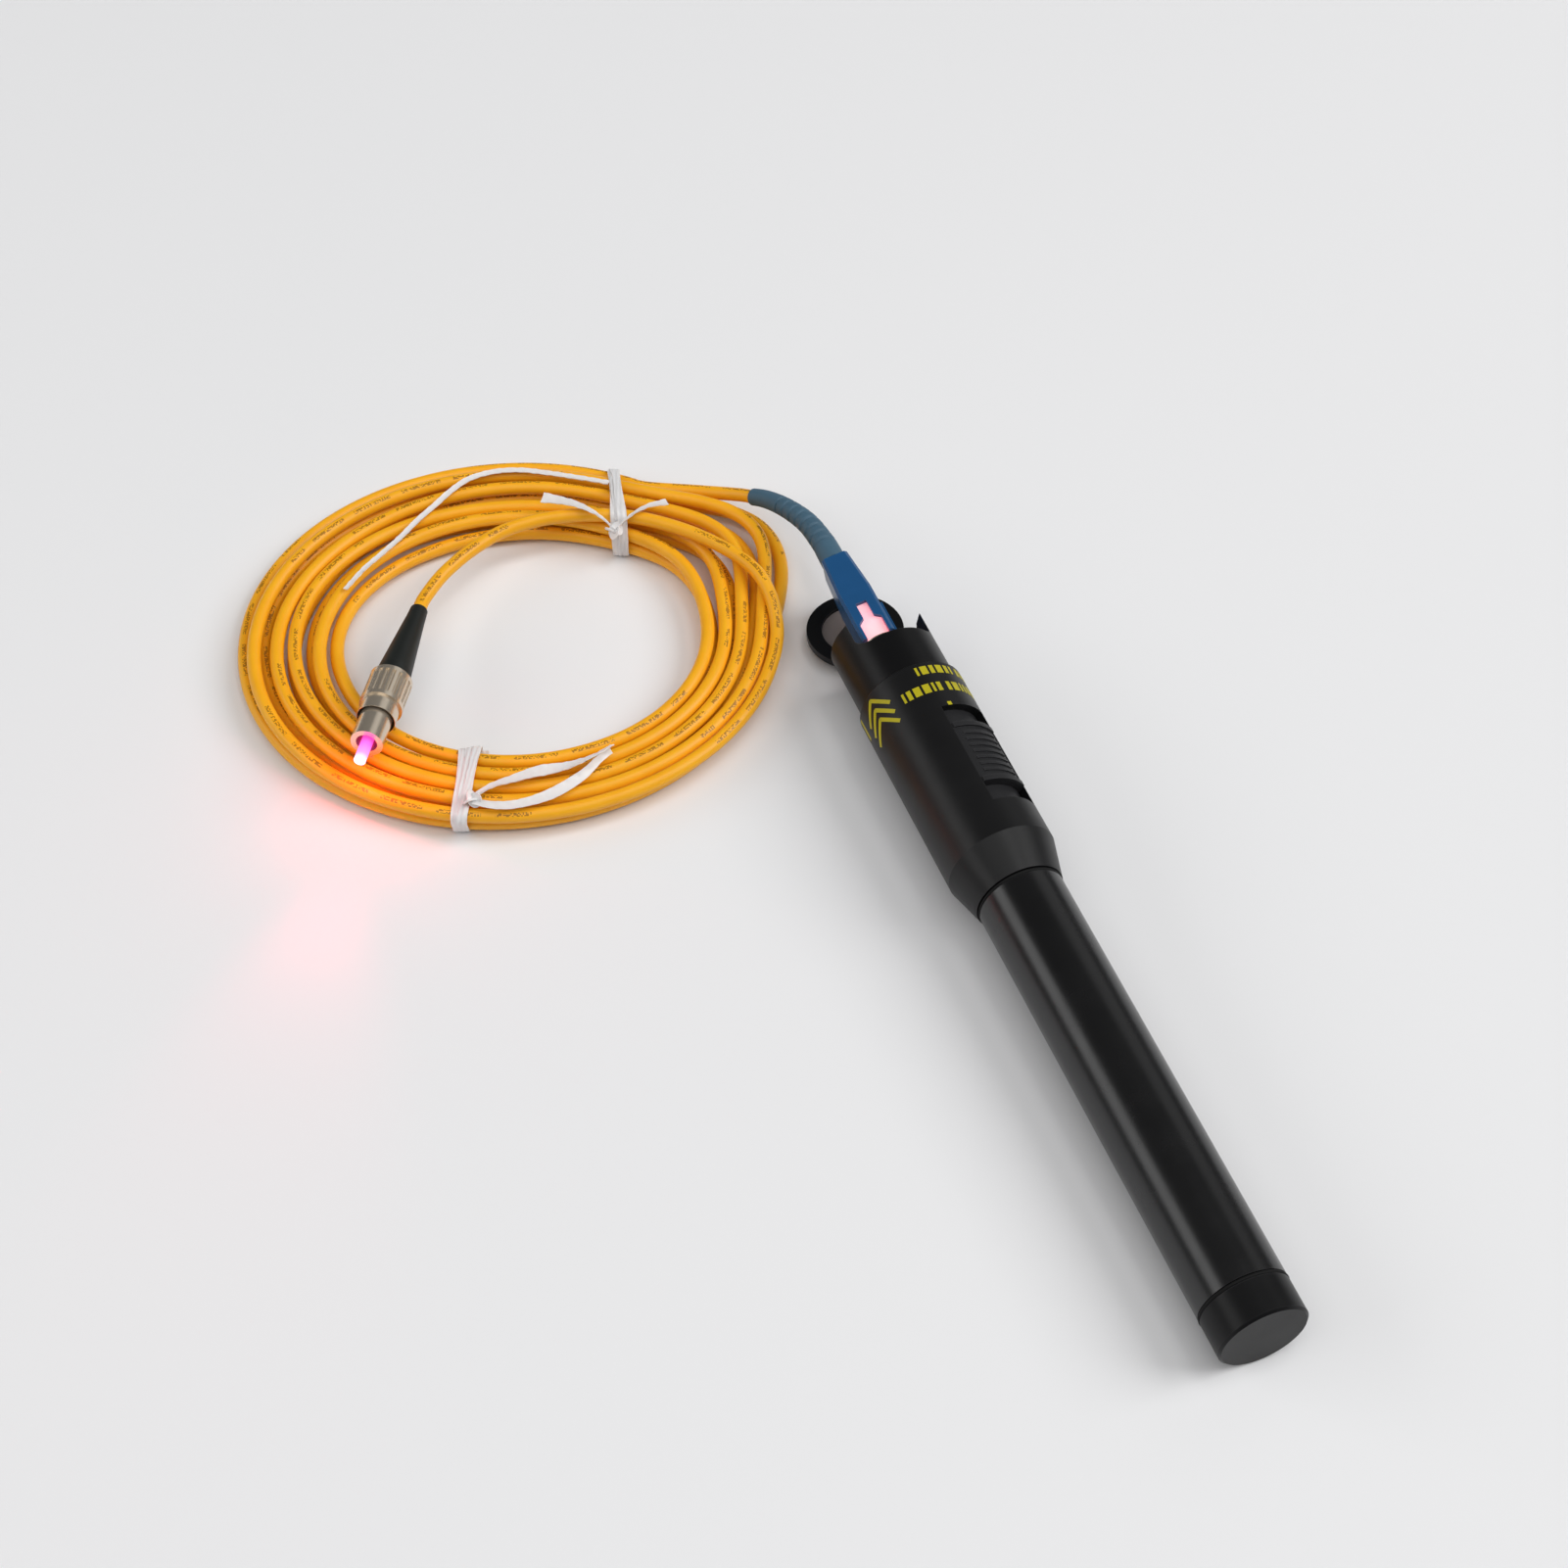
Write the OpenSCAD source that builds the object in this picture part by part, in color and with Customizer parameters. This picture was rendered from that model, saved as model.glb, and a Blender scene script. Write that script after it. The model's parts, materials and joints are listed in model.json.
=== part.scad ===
// Pen-shaped visual fault locator with a patch cord plugged into its port.
// Lengths are millimetres. The pen lies along X with its mouth towards +X, and the floor is z = 0.

/* [Battery tube] */
// Outside diameter of the battery tube and the tail cap
tube_d = 18; // [17.4:0.1:19]
// Wall of the tube
tube_wall = 1.6; // [1.4:0.05:1.7]
// Outside diameter of the threaded necks at both ends of the tube
neck_d = 16.5; // [16.3:0.05:16.8]
// Length of the neck that screws into the head
front_neck_len = 6.5; // [4.5:0.5:7]
// Cord thickness of the two sealing rings
ring_cord = 0.9; // [0.7:0.1:1]

/* [Tail cap] */
// Length of the tail cap
cap_len = 7.5; // [6.6:0.1:9]
// Thickness of the end wall
cap_wall = 1.6; // [1.2:0.1:2]
// Bevel on the edge of the tail face
cap_edge = 0.5; // [0.2:0.1:0.9]
// Rise of the tail thread in one turn
thread_pitch = 1.5; // [1:0.25:1.5]
// Turns of thread on the neck that the tail cap screws onto
thread_turns = 3.6; // [3:0.1:4]

/* [Head] */
// Diameter of the head
head_d = 23; // [22:0.25:25]
// Length of the cone between the tube and the barrel
cone_len = 8.6; // [7.5:0.2:11]
// Diameter of the small end of the cone
cone_d = 18.6; // [18.4:0.1:19.2]
// Wall of the barrel
head_wall = 1.6; // [1.3:0.1:1.8]
// Bevel at the front edge of the barrel
head_edge = 0.6; // [0.3:0.1:0.9]

/* [Front collar] */
// Diameter of the collar round the port
collar_d = 21; // [20.2:0.2:21.8]
// Length of the collar in front of the head
collar_len = 17.5; // [16.5:0.5:20]
// Wall of the collar
collar_wall = 1.5; // [1.2:0.1:1.7]
// Length of the neck that screws into the head
collar_neck_len = 8; // [6:0.5:9]
// Thickness of the bulkhead that carries the port
bulkhead = 3.5; // [2.5:0.25:4]
// Width of the finger notch in the rim
notch_w = 17; // [14:0.5:18]
// Depth of the finger notch
notch_depth = 7; // [5:0.5:8]
// Corner radius of the finger notch
notch_r = 2.5; // [1.5:0.25:3]
// Turn of the notch to the right of the top, in degrees
notch_turn = 10; // [0:1:20]

/* [Slide switch] */
// Length of the sliding button
knob_len = 16; // [14:0.5:17]
// Width of the sliding button
knob_w = 10.8; // [9.6:0.2:11]
// Travel to each side of the middle position
knob_travel = 4.5; // [3:0.25:4.5]
// Distance from the head's crease to the middle of the button
knob_at = 20.5; // [19.5:0.25:23]
// Turn of the switch to the right of the top, in degrees
switch_turn = 33; // [20:1:45]
// Number of cross ribs on the button
rib_count = 7; // [5:1:8]
// Width of one cross rib
rib_w = 0.7; // [0.5:0.05:0.9]

/* [Port] */
// Diameter of the port's barrel
port_d = 11; // [9:0.5:11.5]
// Distance from the rim back to the port's shoulder
port_back = 3; // [2.5:0.25:5]
// Diameter of the guide tube in front of the shoulder
guide_d = 4.4; // [4.2:0.05:4.5]
// Length of the guide tube
guide_len = 4; // [3:0.25:4.1]
// Diameter of the thread that goes through the bulkhead
port_thread_d = 8; // [7:0.25:8.5]
// Outside diameter of the split sleeve
sleeve_d = 3.2; // [3.1:0.05:3.3]
// Length of the split sleeve
sleeve_len = 10.4; // [9:0.2:11]
// Width of the slit in the sleeve
sleeve_slit = 0.5; // [0.3:0.05:0.7]

/* [Laser] */
// Diameter of the brass laser holder
holder_d = 9.6; // [9:0.1:10.4]
// Length of the holder's body
holder_len = 14; // [13:0.25:15]
// Diameter of the nose that seats in the port
nose_d = 5.9; // [5:0.1:6.2]
// Length of the nose
nose_len = 4.8; // [4:0.2:5]
// Flange diameter of the laser diode
diode_d = 5.6; // [5.4:0.1:5.8]
// Can diameter of the laser diode
can_d = 3.8; // [3.4:0.1:4]
// Length of the diode's can
can_len = 3.5; // [3:0.1:3.8]
// Diameter of the focusing lens
lens_d = 4; // [3.8:0.1:4.2]
// Thickness of the focusing lens
lens_t = 2.2; // [1.8:0.1:2.6]

/* [Electronics] */
// Gap between the driver board and the laser holder
board_end_gap = 1.15; // [0.5:0.05:3]
// Width of the driver board
board_w = 17; // [14:0.5:17.5]
// Length of the driver board
board_len = 25.4; // [24.5:0.2:26]
// Thickness of the driver board
board_t = 1; // [0.8:0.1:1.2]
// Distance from the pen's axis to the board's lower face
board_low_h = 1.3; // [1.25:0.05:1.5]
// Length of the switch body on the board
switch_len = 12.8; // [12.2:0.1:13.4]
// Width of the switch body
switch_w = 6.6; // [5.6:0.2:7]
// Height of the switch body
switch_h = 4.4; // [4:0.1:4.8]

/* [Batteries] */
// Diameter of one AA cell
cell_d = 14.2; // [13.8:0.1:14.5]
// Length of one AA cell with its nub
cell_len = 50.5; // [49.8:0.1:50.8]
// Diameter of the nub
nub_d = 5.5; // [5:0.1:5.8]
// Height of the nub
nub_h = 1.2; // [1:0.1:1.5]
// Length of the tail spring as it is fitted
spring_len = 6.35; // [5.5:0.05:8]
// Wire of the tail spring
spring_wire = 0.8; // [0.6:0.05:0.9]
// Diameter of the tail spring at its wide end
spring_d = 11; // [9:0.5:12]
// Turns of the tail spring
spring_turns = 3; // [2:1:4]

/* [Flip cap] */
// Diameter of the flip cap
lid_d = 21; // [20.4:0.1:21.6]
// Thickness of the flip cap
lid_t = 2; // [1.8:0.1:2.1]
// Depth of the recess in its inner face
lid_recess = 1.2; // [1.1:0.05:1.3]
// Diameter of the recess, which holds the seal
recess_d = 14.4; // [12:0.2:15]
// Thickness of the seal
seal_t = 0.5; // [0.4:0.05:0.7]
// Turn of the hinge from the top, in degrees
hinge_turn = 180; // [176:1:184]
// Diameter of the hinge pin
hinge_pin_d = 1; // [0.8:0.05:1.1]
// Length of the hinge
hinge_w = 6; // [5:0.25:6.4]

/* [Square plug] */
// Height of the plug's grip sleeve
plug_h = 9; // [8.8:0.1:9.2]
// Width of the grip sleeve
plug_w = 7.4; // [7.2:0.1:7.6]
// Length of the grip sleeve
plug_len = 24.6; // [23.8:0.2:26]
// Turn of the plug about the pen, in degrees
plug_turn = -10; // [-15:1:0]
// Diameter of the ceramic ferrules
ferrule_d = 2.498; // [2.496:0.001:2.499]
// Length of the boot behind the plug, with the part inside the grip
boot_base_d = 5.6; // [5.2:0.1:5.8]
// Diameter of the boot's tip
boot_tip_d = 3.8; // [3.4:0.1:4]
// Number of grooves round the boot
boot_grooves = 5; // [3:1:6]

/* [Round plug] */
// Diameter of the coupling nut
nut_d = 9.2; // [9:0.1:9.4]
// Length of the coupling nut
nut_len = 12; // [11:0.1:12.6]
// Number of flutes in the nut's knurl
nut_flutes = 20; // [12:2:24]
// Length of the round plug's boot
fc_boot_len = 21.6; // [20:0.2:22]
// Diameter of that boot at its wide end
fc_boot_d = 7.2; // [7:0.1:7.6]

/* [Patch cord] */
// Diameter of the cord
cord_d = 3; // [2.8:0.1:3]
// Long half width of the coil's outermost turn
coil_half_u = 58; // [55:0.5:59]
// Short half width of the coil's outermost turn
coil_half_v = 52.5; // [50:0.5:54]
// Distance between turns where the ties hold them
lane_tight = 3.45; // [3.42:0.01:3.6]
// Extra distance between turns where they spread
lane_spread = 1.9; // [1:0.1:2.1]
// Height of one layer over the next
layer_rise = 3.45; // [3.42:0.01:3.5]
// Width of the ties' band
tie_w = 2.6; // [2:0.1:3.2]
// Thickness of the ties' band
tie_t = 0.4; // [0.3:0.05:0.5]

/* [Hidden] */
$fn = 64;

// Overrun of every cut, running gap of parts that slide or turn, and gap of parts that only seat
over = 1;
run = 0.05;
seat = 0.05;
free_gap = 0.3;

// Between the cells and the electronics: the rivet contact, its carrier and the head's web
web_t = 1.6;
web_hole_r = 6;
boss_back = 0.2;
carrier_t = 3;
carrier_boss = web_t - boss_back;
rivet_r = 3;
rivet_h = 0.5;
rivet_stem_r = 1;
rivet_tail = 0.8;
rail_w = 1.2;
rail_len = 4;
cell_edge = 0.5;
plate_t = 0.4;
plate_side = 1.2;
spring_tip_r = 3;

// Stations along the pen, from the tail face. The tail spring, the two cells and the front contact set
// the length of the tube
s_tube = cap_len + ring_cord;
s_spring = cap_wall + plate_t + seat;
s_cell_rear = s_spring + spring_len;
s_cell_front = s_cell_rear + cell_len + seat;
s_contact = s_cell_front + cell_len + seat;
s_cavity = s_contact + rivet_h + carrier_boss;
s_web = s_cavity - web_t;
s_board = s_cavity + carrier_t;
s_joint = s_web - free_gap - front_neck_len;
s_head = s_joint + ring_cord;
s_crease = s_head + cone_len;

// The board, the laser holder and the port's thread set the length of the head
bulkhead_set = 1;
port_thread_out = 2.5;
s_holder = s_board + board_len + board_end_gap;
s_holder_end = s_holder + holder_len;
s_port_rear = s_holder_end + seat;
s_bulkhead = s_port_rear + port_thread_out;
s_front = s_bulkhead + bulkhead_set;
s_rim = s_front + collar_len;
s_knob = s_crease + knob_at;

// Radii of the pen
tube_r = tube_d / 2;
bore_r = tube_r - tube_wall;
neck_r = neck_d / 2;
rear_neck_len = thread_pitch * thread_turns;
head_r = head_d / 2;
cavity_r = head_r - head_wall;
collar_r = collar_d / 2;
mouth_r = collar_r - collar_wall;
thread_depth = 0.48;
collar_neck_r = cavity_r - run - thread_depth;
plate_r = neck_r - plate_side;

// The pen rests on the tail cap's edge and the head's crease
tilt = atan((head_r - tube_r) / (s_crease - cap_edge));
pen_x = -99;
pen_z = tube_r * cos(tilt) - cap_edge * sin(tilt);
mouth_x = pen_x + s_rim;

// Switch: window in the head, track plate under it, button, lever and switch body
window_side = 0.15;
window_len = knob_len + 2 * knob_travel + 2 * free_gap;
window_w = knob_w + 2 * window_side;
track_t = 0.9;
track_edge_w = 1.5;
track_out_r = cavity_r - run;
track_in_r = track_out_r - track_t;
track_w = window_w + 2 * track_edge_w;
track_len = window_len + 2 * track_edge_w;
stem_w = 3;
stem_len = 3.4;
slot_gap = 0.15;
knob_sink = 0.2;
knob_rib_rise = 0.1;
knob_rim_rise = 0.25;
knob_rim_w = 1.2;
knob_base_r = head_r - knob_sink;
knob_rib_r = head_r + knob_rib_rise;
knob_rim_r = head_r + knob_rim_rise;
lever_w = 2;
lever_rise = 0.3;
pocket_gap = 0.2;
lever_top_r = track_in_r + lever_rise;
lever_pocket = lever_top_r + pocket_gap;
board_top = board_low_h + board_t;
switch_wall = 0.8;
stem_bottom = board_top + seat + switch_h + free_gap;

// Parts on the driver board: height, width and length of each kind, and where they sit as shares of the
// board's width and length
tantalum = [2.2, 3.2, 6];
driver_chip = [1.4, 4, 5];
resistor = [0.5, 0.9, 1.7];
tantalum_share = [0, 0.217];
driver_share = [-0.247, 0.354];
resistor_top_share = [0.324, 0.157];
resistor_low_share = [0.259, 0.197];
resistor_step_share = 0.118;

// Collar, port and laser along the axis
s_port = s_bulkhead + bulkhead;
s_shoulder = s_rim - port_back;
s_mouth = s_shoulder + guide_len;
guide_lip = 0.4;
lip_gap = 0.111;
ferrule_r = ferrule_d / 2;
lip_r = ferrule_r + lip_gap;
s_sleeve_end = s_mouth - guide_lip - seat;
s_sleeve = s_sleeve_end - sleeve_len;
socket_gap = 0.2;
socket_len = nose_len + socket_gap;
light_r = 1;
light_step = 0.2;
pin_r = 0.22;
pin_gap = 1;
pin_len = 4.2;
flange_t = 1.2;
flange_back = 1.3;
s_diode = s_holder + flange_back + flange_t;
lens_back = 1;
s_lens = s_diode + can_len + lens_back;
lens_ring_t = 1.2;
collar_neck_wall = 2;
rear_bore_r = collar_neck_r - collar_neck_wall;

// Flip cap and its hinge, worked out shut and then opened about the pin
lid_r = lid_d / 2;
knuckle_r = 0.95;
hinge_r = (mouth_r + collar_r) / 2;
hinge_out = 1.6;
s_hinge = s_rim + hinge_out;
lid_open = 93;
lid_lug = 3;
lid_cut = 0.3;
ear_gap = 0.1;
lid_edge = 0.4;

// Square plug along the pen's axis
grip_set = 2;
frame_gap = 0.1;
s_grip = s_rim - grip_set;
s_frame = s_shoulder + frame_gap;
s_grip_end = s_grip + plug_len;
grip_wall_x = 0.85;
grip_wall_y = 0.75;
grip_edge = 0.6;
frame_h = plug_h - 2 * (grip_wall_x + run);
frame_w = plug_w - 2 * (grip_wall_y + run);
frame_len = 16.4;
waist_at = 13.5;
waist_h = 7.6;
waist_w = 5.9;
waist_wall = 0.6;
frame_edge = 0.5;
guide_gap = 0.12;
guide_hole_r = guide_d / 2 + guide_gap;
guide_hole_len = 7.3;
stop_t = 0.6;
stop_r = 1.5;
s_stop = s_frame + guide_hole_len;
chamber_wall = 0.6;
chamber_r = frame_w / 2 - chamber_wall;
ferrule_back = 0.2;
flange_r = chamber_r - run;
flange_len = 2.6;
float_travel = 0.6;
s_sc_flange = s_stop + stop_t + seat;
spring_gap = 0.15;
s_sc_spring = s_sc_flange + flange_len + float_travel + spring_gap;
sc_spring_len = 3.6;
crimp_gap = 0.2;
s_crimp = s_sc_spring + sc_spring_len + crimp_gap;
s_waist = s_grip + waist_at;
narrow_gap = 0.6;
s_frame_end = s_frame + frame_len;
s_narrow = s_frame_end + narrow_gap;
hull_slice = 0.1;
float_wire = 0.35;
float_turns = 5;
crimp_stem_r = 1.6;
crimp_neck_r = 2;
window_neck = 1.2;
window_wide = 2.5;
window_neck_len = 4.2;
grip_window_len = 9.5;
window_slope = 1.1;
key_w = 4;
key_h = 0.75;
key_len = 9.3;
boot_front_r = waist_w / 2 - waist_wall - run;
boot_inside = 2.8;
boot_straight = 6.2;
boot_lap = 0.8;
boot_groove = 0.35;
grip_travel = 0.8;
boot_gap = 0.1;
boot_step = grip_travel + boot_gap;
s_boot_end = s_grip_end + boot_straight;

// Round plug, along its own axis from the tip of its boot
fc_from_mouth = [47, 86.4, 9.5];
fc_at = [mouth_x, 0, 0] + fc_from_mouth;
fc_turn = 148;
fc_rise = 5.2;
fc_base = fc_boot_len;
fc_boot_straight = 2;
fc_tip_len = 3;
fc_tip_swell = 0.2;
nut_gap = 0.6;
nut_at = fc_base + nut_gap;
nut_end = nut_at + nut_len;
nut_lip = 1.2;
nut_lip_r = 3.5;
nut_bore_r = 4;
nut_flute_d = 0.8;
nut_knurl_len = 8.4;
nut_plain = 1;
nut_step = 0.5;
nut_play = 1.5;
fc_neck_r = 3.2;
fc_flange_r = 3.85;
fc_flange_at = nut_at + nut_lip + nut_play;
fc_flange_len = 1.5;
fc_barrel_r = 3.4;
fc_barrel_out = 7;
fc_barrel_end = nut_end + fc_barrel_out;
fc_key_w = 2;
fc_key_h = 0.6;
fc_key_len = 4;
fc_bore_r = 2.25;
fc_web = 0.6;
fc_stop_r = 1.85;
fc_tip_out = 5.2;
fc_tip = fc_barrel_end + fc_tip_out;
fc_flange_front = nut_end - seat;
fc_ferrule_flange = 2;
fc_spring_len = 5.6;
fc_stem_len = 11.5;
fc_stem_at = fc_base - fc_stem_len;
fc_stem_r = 2.45;
fc_nose_len = 1.6;
clip_t = 0.5;
clip_side = 0.08;
clip_in_r = fc_neck_r + clip_side;
clip_out_r = nut_bore_r - clip_side;
clip_gap = 0.8;

// Coil: where it lies, how it turns, and its turns from the plug's end to the round plug's end
cord_r = cord_d / 2;
coil_from_mouth = [38.5, 69.9];
coil_at = [mouth_x, 0] + coil_from_mouth;
coil_turn = -112;
coil_lift = 0.7;
coil_start = 65;
coil_sweep = 3165;
coil_step = 15;
coil_half = coil_sweep / 2;
spread_turn = 45;
end_run = cord_d;

// Routes, chosen by hand: the boot's curve and the free cord behind it, measured from the floor under
// the pen's rim, and the stretch that crosses the coil, on the coil's own axes
boot_route = [
    [30.5, 0, 13.3], [36.9, 0.5, 12.7], [42.2, 1.7, 11.7], [47.4, 3.4, 10.3], [51.6, 5.3, 8.8], [54.2, 7, 7.6]
];
sc_route = [[61.2, 12.9, 4.5], [65.1, 17.6, 3.2]];
fc_route = [
    [58.1, 0, 6.3], [56.8, 7, 8.1], [54, 13, 9.3], [50, 17.7, 9.4], [45, 21.7, 9.4], [39.5, 25.1, 9.4],
    [33.5, 27.8, 9.4], [28, 29.6, 9.4], [22.5, 30.4, 9.4], [17, 30.6, 9.4], [11.5, 30.2, 9.4],
    [6.5, 29.2, 9.4], [1.5, 27.4, 9.4], [-2.8, 25, 9.4], [-6.4, 21.9, 9.4], [-9.5, 18.7, 9.4],
    [-12.2, 15.3, 9.4], [-14.6, 11.7, 9.4], [-16.7, 7.6, 9.3]
];
boot_sides = 16;
cord_sides = 8;
coil_sides = 6;
wire_sides = 6;
wire_steps = 16;

// Ties: their places, bands, tails and bow as shares of the coil's half widths and of the band's height
tie_gap = 0.1;
tie_slack = 0.35;
tie_over_slack = 0.25;
tie_low = coil_lift - tie_gap;
tie_high = coil_lift + cord_d + layer_rise + tie_slack;
tie_over = tie_high + layer_rise + tie_over_slack;
tie_top_share = 0.388;
tie_bottom_share = -0.078;
top_in_share = 0.461;
top_out_share = 0.977;
top_step_shares = [0.533, 0.625, 0.695];
bottom_in_share = -0.651;
bottom_out_share = -1.027;
tie_tail_shares = [
    [[0.386, 0.491, 0.821], [0.319, 0.545, 1.027], [0.233, 0.598, 1.063], [0.109, 0.64, 1.036]],
    [[0.391, 0.491, 0.821], [0.448, 0.539, 1.027], [0.517, 0.589, 1.063], [0.583, 0.617, 1.027]]
];
tie_bow_shares = [
    [[-0.076, -0.971, 0.696], [0.069, -0.985, 0.768], [0.207, -0.93, 0.795], [0.319, -0.829, 0.795],
        [0.379, -0.737, 0.777]],
    [[-0.076, -0.914, 0.696], [0.052, -0.865, 0.777], [0.155, -0.819, 0.821], [0.267, -0.789, 0.821],
        [0.379, -0.737, 0.777]]
];
tail_w = 1.8;
tail_t = 0.3;

// Vector helpers
function unit(v) = v / norm(v);
function level(v) = [v[0], v[1], 0];
function end_of(p) = p[len(p) - 1];
function spin(p, a) = [p[0] * cos(a) - p[1] * sin(a), p[0] * sin(a) + p[1] * cos(a), p[2]];
function coil_to_part(p) = spin(p, coil_turn) + [coil_at[0], coil_at[1], 0];
function pen_to_part(s) = [pen_x + s * cos(tilt), 0, pen_z + s * sin(tilt)];
function fc_to_part(k) = fc_at + k * [cos(fc_rise) * cos(fc_turn), cos(fc_rise) * sin(fc_turn), sin(fc_rise)];

// Coil: lane counts turns inward from the outermost one, and layer goes from 0 to 1 in the half turn
// where the spiral reverses
function lane_pitch(a) = lane_tight + lane_spread * (1 - cos(a + spread_turn)) / 2;
function lane(t) = (t < coil_half ? t : coil_sweep - t) / 360;
function layer(t) = min(max((t - coil_half) / 180 + 0.5, 0), 1);
function coil_point(t) =
    let (a = coil_start + t, inward = lane(t) * lane_pitch(a))
    [
        (coil_half_u - inward) * cos(a),
        (coil_half_v - inward) * sin(a),
        coil_lift + cord_r + layer(t) * layer_rise
    ];
function coil_end(t, way) = coil_point(t) + end_run * unit(level(coil_point(t + way) - coil_point(t)));
coil_points = [
    coil_end(0, -1),
    for (t = [0:coil_step:coil_sweep]) coil_point(t),
    coil_end(coil_sweep, 1)
];
coil_part = [for (p = coil_points) coil_to_part(p)];
coil_first = coil_part[0];
coil_last = end_of(coil_part);
coil_count = len(coil_points);
coil_gap = min([
    for (i = [0:coil_count - 1]) for (j = [i + 8:coil_count - 1]) norm(coil_points[i] - coil_points[j])
]) - cord_d;
function path_len(p, i = 1) = i >= len(p) ? 0 : norm(p[i] - p[i - 1]) + path_len(p, i + 1);

// Free stretches, from face to face: each leaves its neighbour straight on
function from_mouth(p) = [for (q = p) q + [mouth_x, 0, 0]];
function beyond(p, end) = end + end_run * unit(end - p);
boot_line = concat([pen_to_part(s_boot_end - boot_lap)], from_mouth(boot_route));
boot_tip = end_of(boot_line);
sc_line = concat(
    [boot_tip, beyond(boot_line[len(boot_line) - 2], boot_tip)], from_mouth(sc_route),
    [beyond(coil_part[1], coil_first), coil_first]
);
fc_line = concat(
    [coil_last, beyond(coil_part[coil_count - 2], coil_last)], [for (p = fc_route) coil_to_part(p)],
    [fc_to_part(-end_run), fc_to_part(0)]
);
echo(least_gap = coil_gap);
echo(cord_length = path_len(coil_part) + path_len(sc_line) + path_len(fc_line));

// A tube along a list of points: r may be one radius or one for each point
function tangent(p, i) = unit(p[min(i + 1, len(p) - 1)] - p[max(i - 1, 0)]);
function ring_at(p, i, r, sides) =
    let (t = tangent(p, i), side = unit(cross([0, 0, 1], t)), up = cross(t, side))
    [for (k = [0:sides - 1]) p[i] + r * (cos(360 * k / sides) * side + sin(360 * k / sides) * up)];
module tube_along(p, r, sides) {
    n = len(p);
    rings = [for (i = [0:n - 1]) each ring_at(p, i, is_list(r) ? r[i] : r, sides)];
    walls = [
        for (i = [0:n - 2]) for (k = [0:sides - 1])
            let (a = i * sides + k, b = i * sides + (k + 1) % sides)
            each [[a, b + sides, b], [a, a + sides, b + sides]]
    ];
    first = [for (k = [1:sides - 2]) [0, k, k + 1]];
    last = [for (k = [1:sides - 2]) [(n - 1) * sides, (n - 1) * sides + k + 1, (n - 1) * sides + k]];
    polyhedron(points = rings, faces = concat(walls, first, last), convexity = 10);
}

// A flat strip along a list of points, lying level across its width
module strip_along(p, w, t) {
    n = len(p);
    rings = [
        for (i = [0:n - 1])
            let (d = tangent(p, i), side = unit(cross([0, 0, 1], d)) * w / 2, up = [0, 0, t / 2])
            each [p[i] + side - up, p[i] - side - up, p[i] - side + up, p[i] + side + up]
    ];
    walls = [
        for (i = [0:n - 2]) for (k = [0:3])
            let (a = i * 4 + k, b = i * 4 + (k + 1) % 4)
            each [[a, b, b + 4], [a, b + 4, a + 4]]
    ];
    e = (n - 1) * 4;
    ends = [[0, 3, 2], [0, 2, 1], [e, e + 1, e + 2], [e, e + 2, e + 3]];
    polyhedron(points = rings, faces = concat(walls, ends), convexity = 10);
}

// Places
module on_pen() {
    translate([pen_x, 0, pen_z]) rotate([0, 90 - tilt, 0]) children();
}
// Local x points outward at an angle from the top, to the right when looking towards the mouth
module facing(a) {
    rotate([0, 0, 180 + a]) children();
}
module on_plug() {
    on_pen() facing(plug_turn) children();
}
module on_fc() {
    translate(fc_at) rotate([0, 90 - fc_rise, fc_turn]) children();
}
module on_coil() {
    translate([coil_at[0], coil_at[1], 0]) rotate([0, 0, coil_turn]) children();
}
// Turns a flip cap that is drawn shut to its open place
module on_lid() {
    on_pen() facing(hinge_turn)
        translate([hinge_r, 0, s_hinge]) rotate([0, lid_open, 0]) translate([-hinge_r, 0, -s_hinge])
            children();
}

// Plain turned shapes
module rod(r, a, b) {
    translate([0, 0, a]) cylinder(r = r, h = b - a);
}
module pipe(out_r, in_r, a, b) {
    difference() {
        rod(out_r, a, b);
        rod(in_r, a - over, b + over);
    }
}
module block(x, y, a, b) {
    translate([-x / 2, -y / 2, a]) cube([x, y, b - a]);
}
module bevelled_block(x, y, edge, a, b) {
    translate([0, 0, a]) linear_extrude(b - a)
        polygon([
            [-x / 2 + edge, -y / 2], [x / 2 - edge, -y / 2], [x / 2, -y / 2 + edge], [x / 2, y / 2 - edge],
            [x / 2 - edge, y / 2], [-x / 2 + edge, y / 2], [-x / 2, y / 2 - edge], [-x / 2, -y / 2 + edge]
        ]);
}
module torus(mid_r, cord) {
    rotate_extrude() translate([mid_r, 0]) circle(d = cord, $fn = 24);
}

// A compression spring as a helix from station a to b, which narrows from r_a to r_b
module helix(r_a, r_b, wire, turns, a, b) {
    n = turns * wire_steps + 1;
    points = [
        for (i = [0:n - 1])
            let (k = i / (n - 1), r = r_a + (r_b - r_a) * k, w = 360 * turns * k)
            [r * cos(w), r * sin(w), a + (b - a) * k]
    ];
    // The ring's frame uses the radius instead of the vertical, because the wire is nearly level
    rings = [
        for (i = [0:n - 1])
            let (w = 360 * i / wire_steps, side = [cos(w), sin(w), 0], up = cross(tangent(points, i), side))
            for (k = [0:wire_sides - 1])
                let (q = 360 * k / wire_sides)
                points[i] + wire / 2 * (cos(q) * side + sin(q) * up)
    ];
    walls = [
        for (i = [0:n - 2]) for (k = [0:wire_sides - 1])
            let (p = i * wire_sides + k, q = i * wire_sides + (k + 1) % wire_sides)
            each [[p, q, q + wire_sides], [p, q + wire_sides, p + wire_sides]]
    ];
    e = (n - 1) * wire_sides;
    ends = [for (k = [1:wire_sides - 2]) each [[0, k + 1, k], [e, e + k, e + k + 1]]];
    polyhedron(points = rings, faces = concat(walls, ends), convexity = 10);
}

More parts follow.
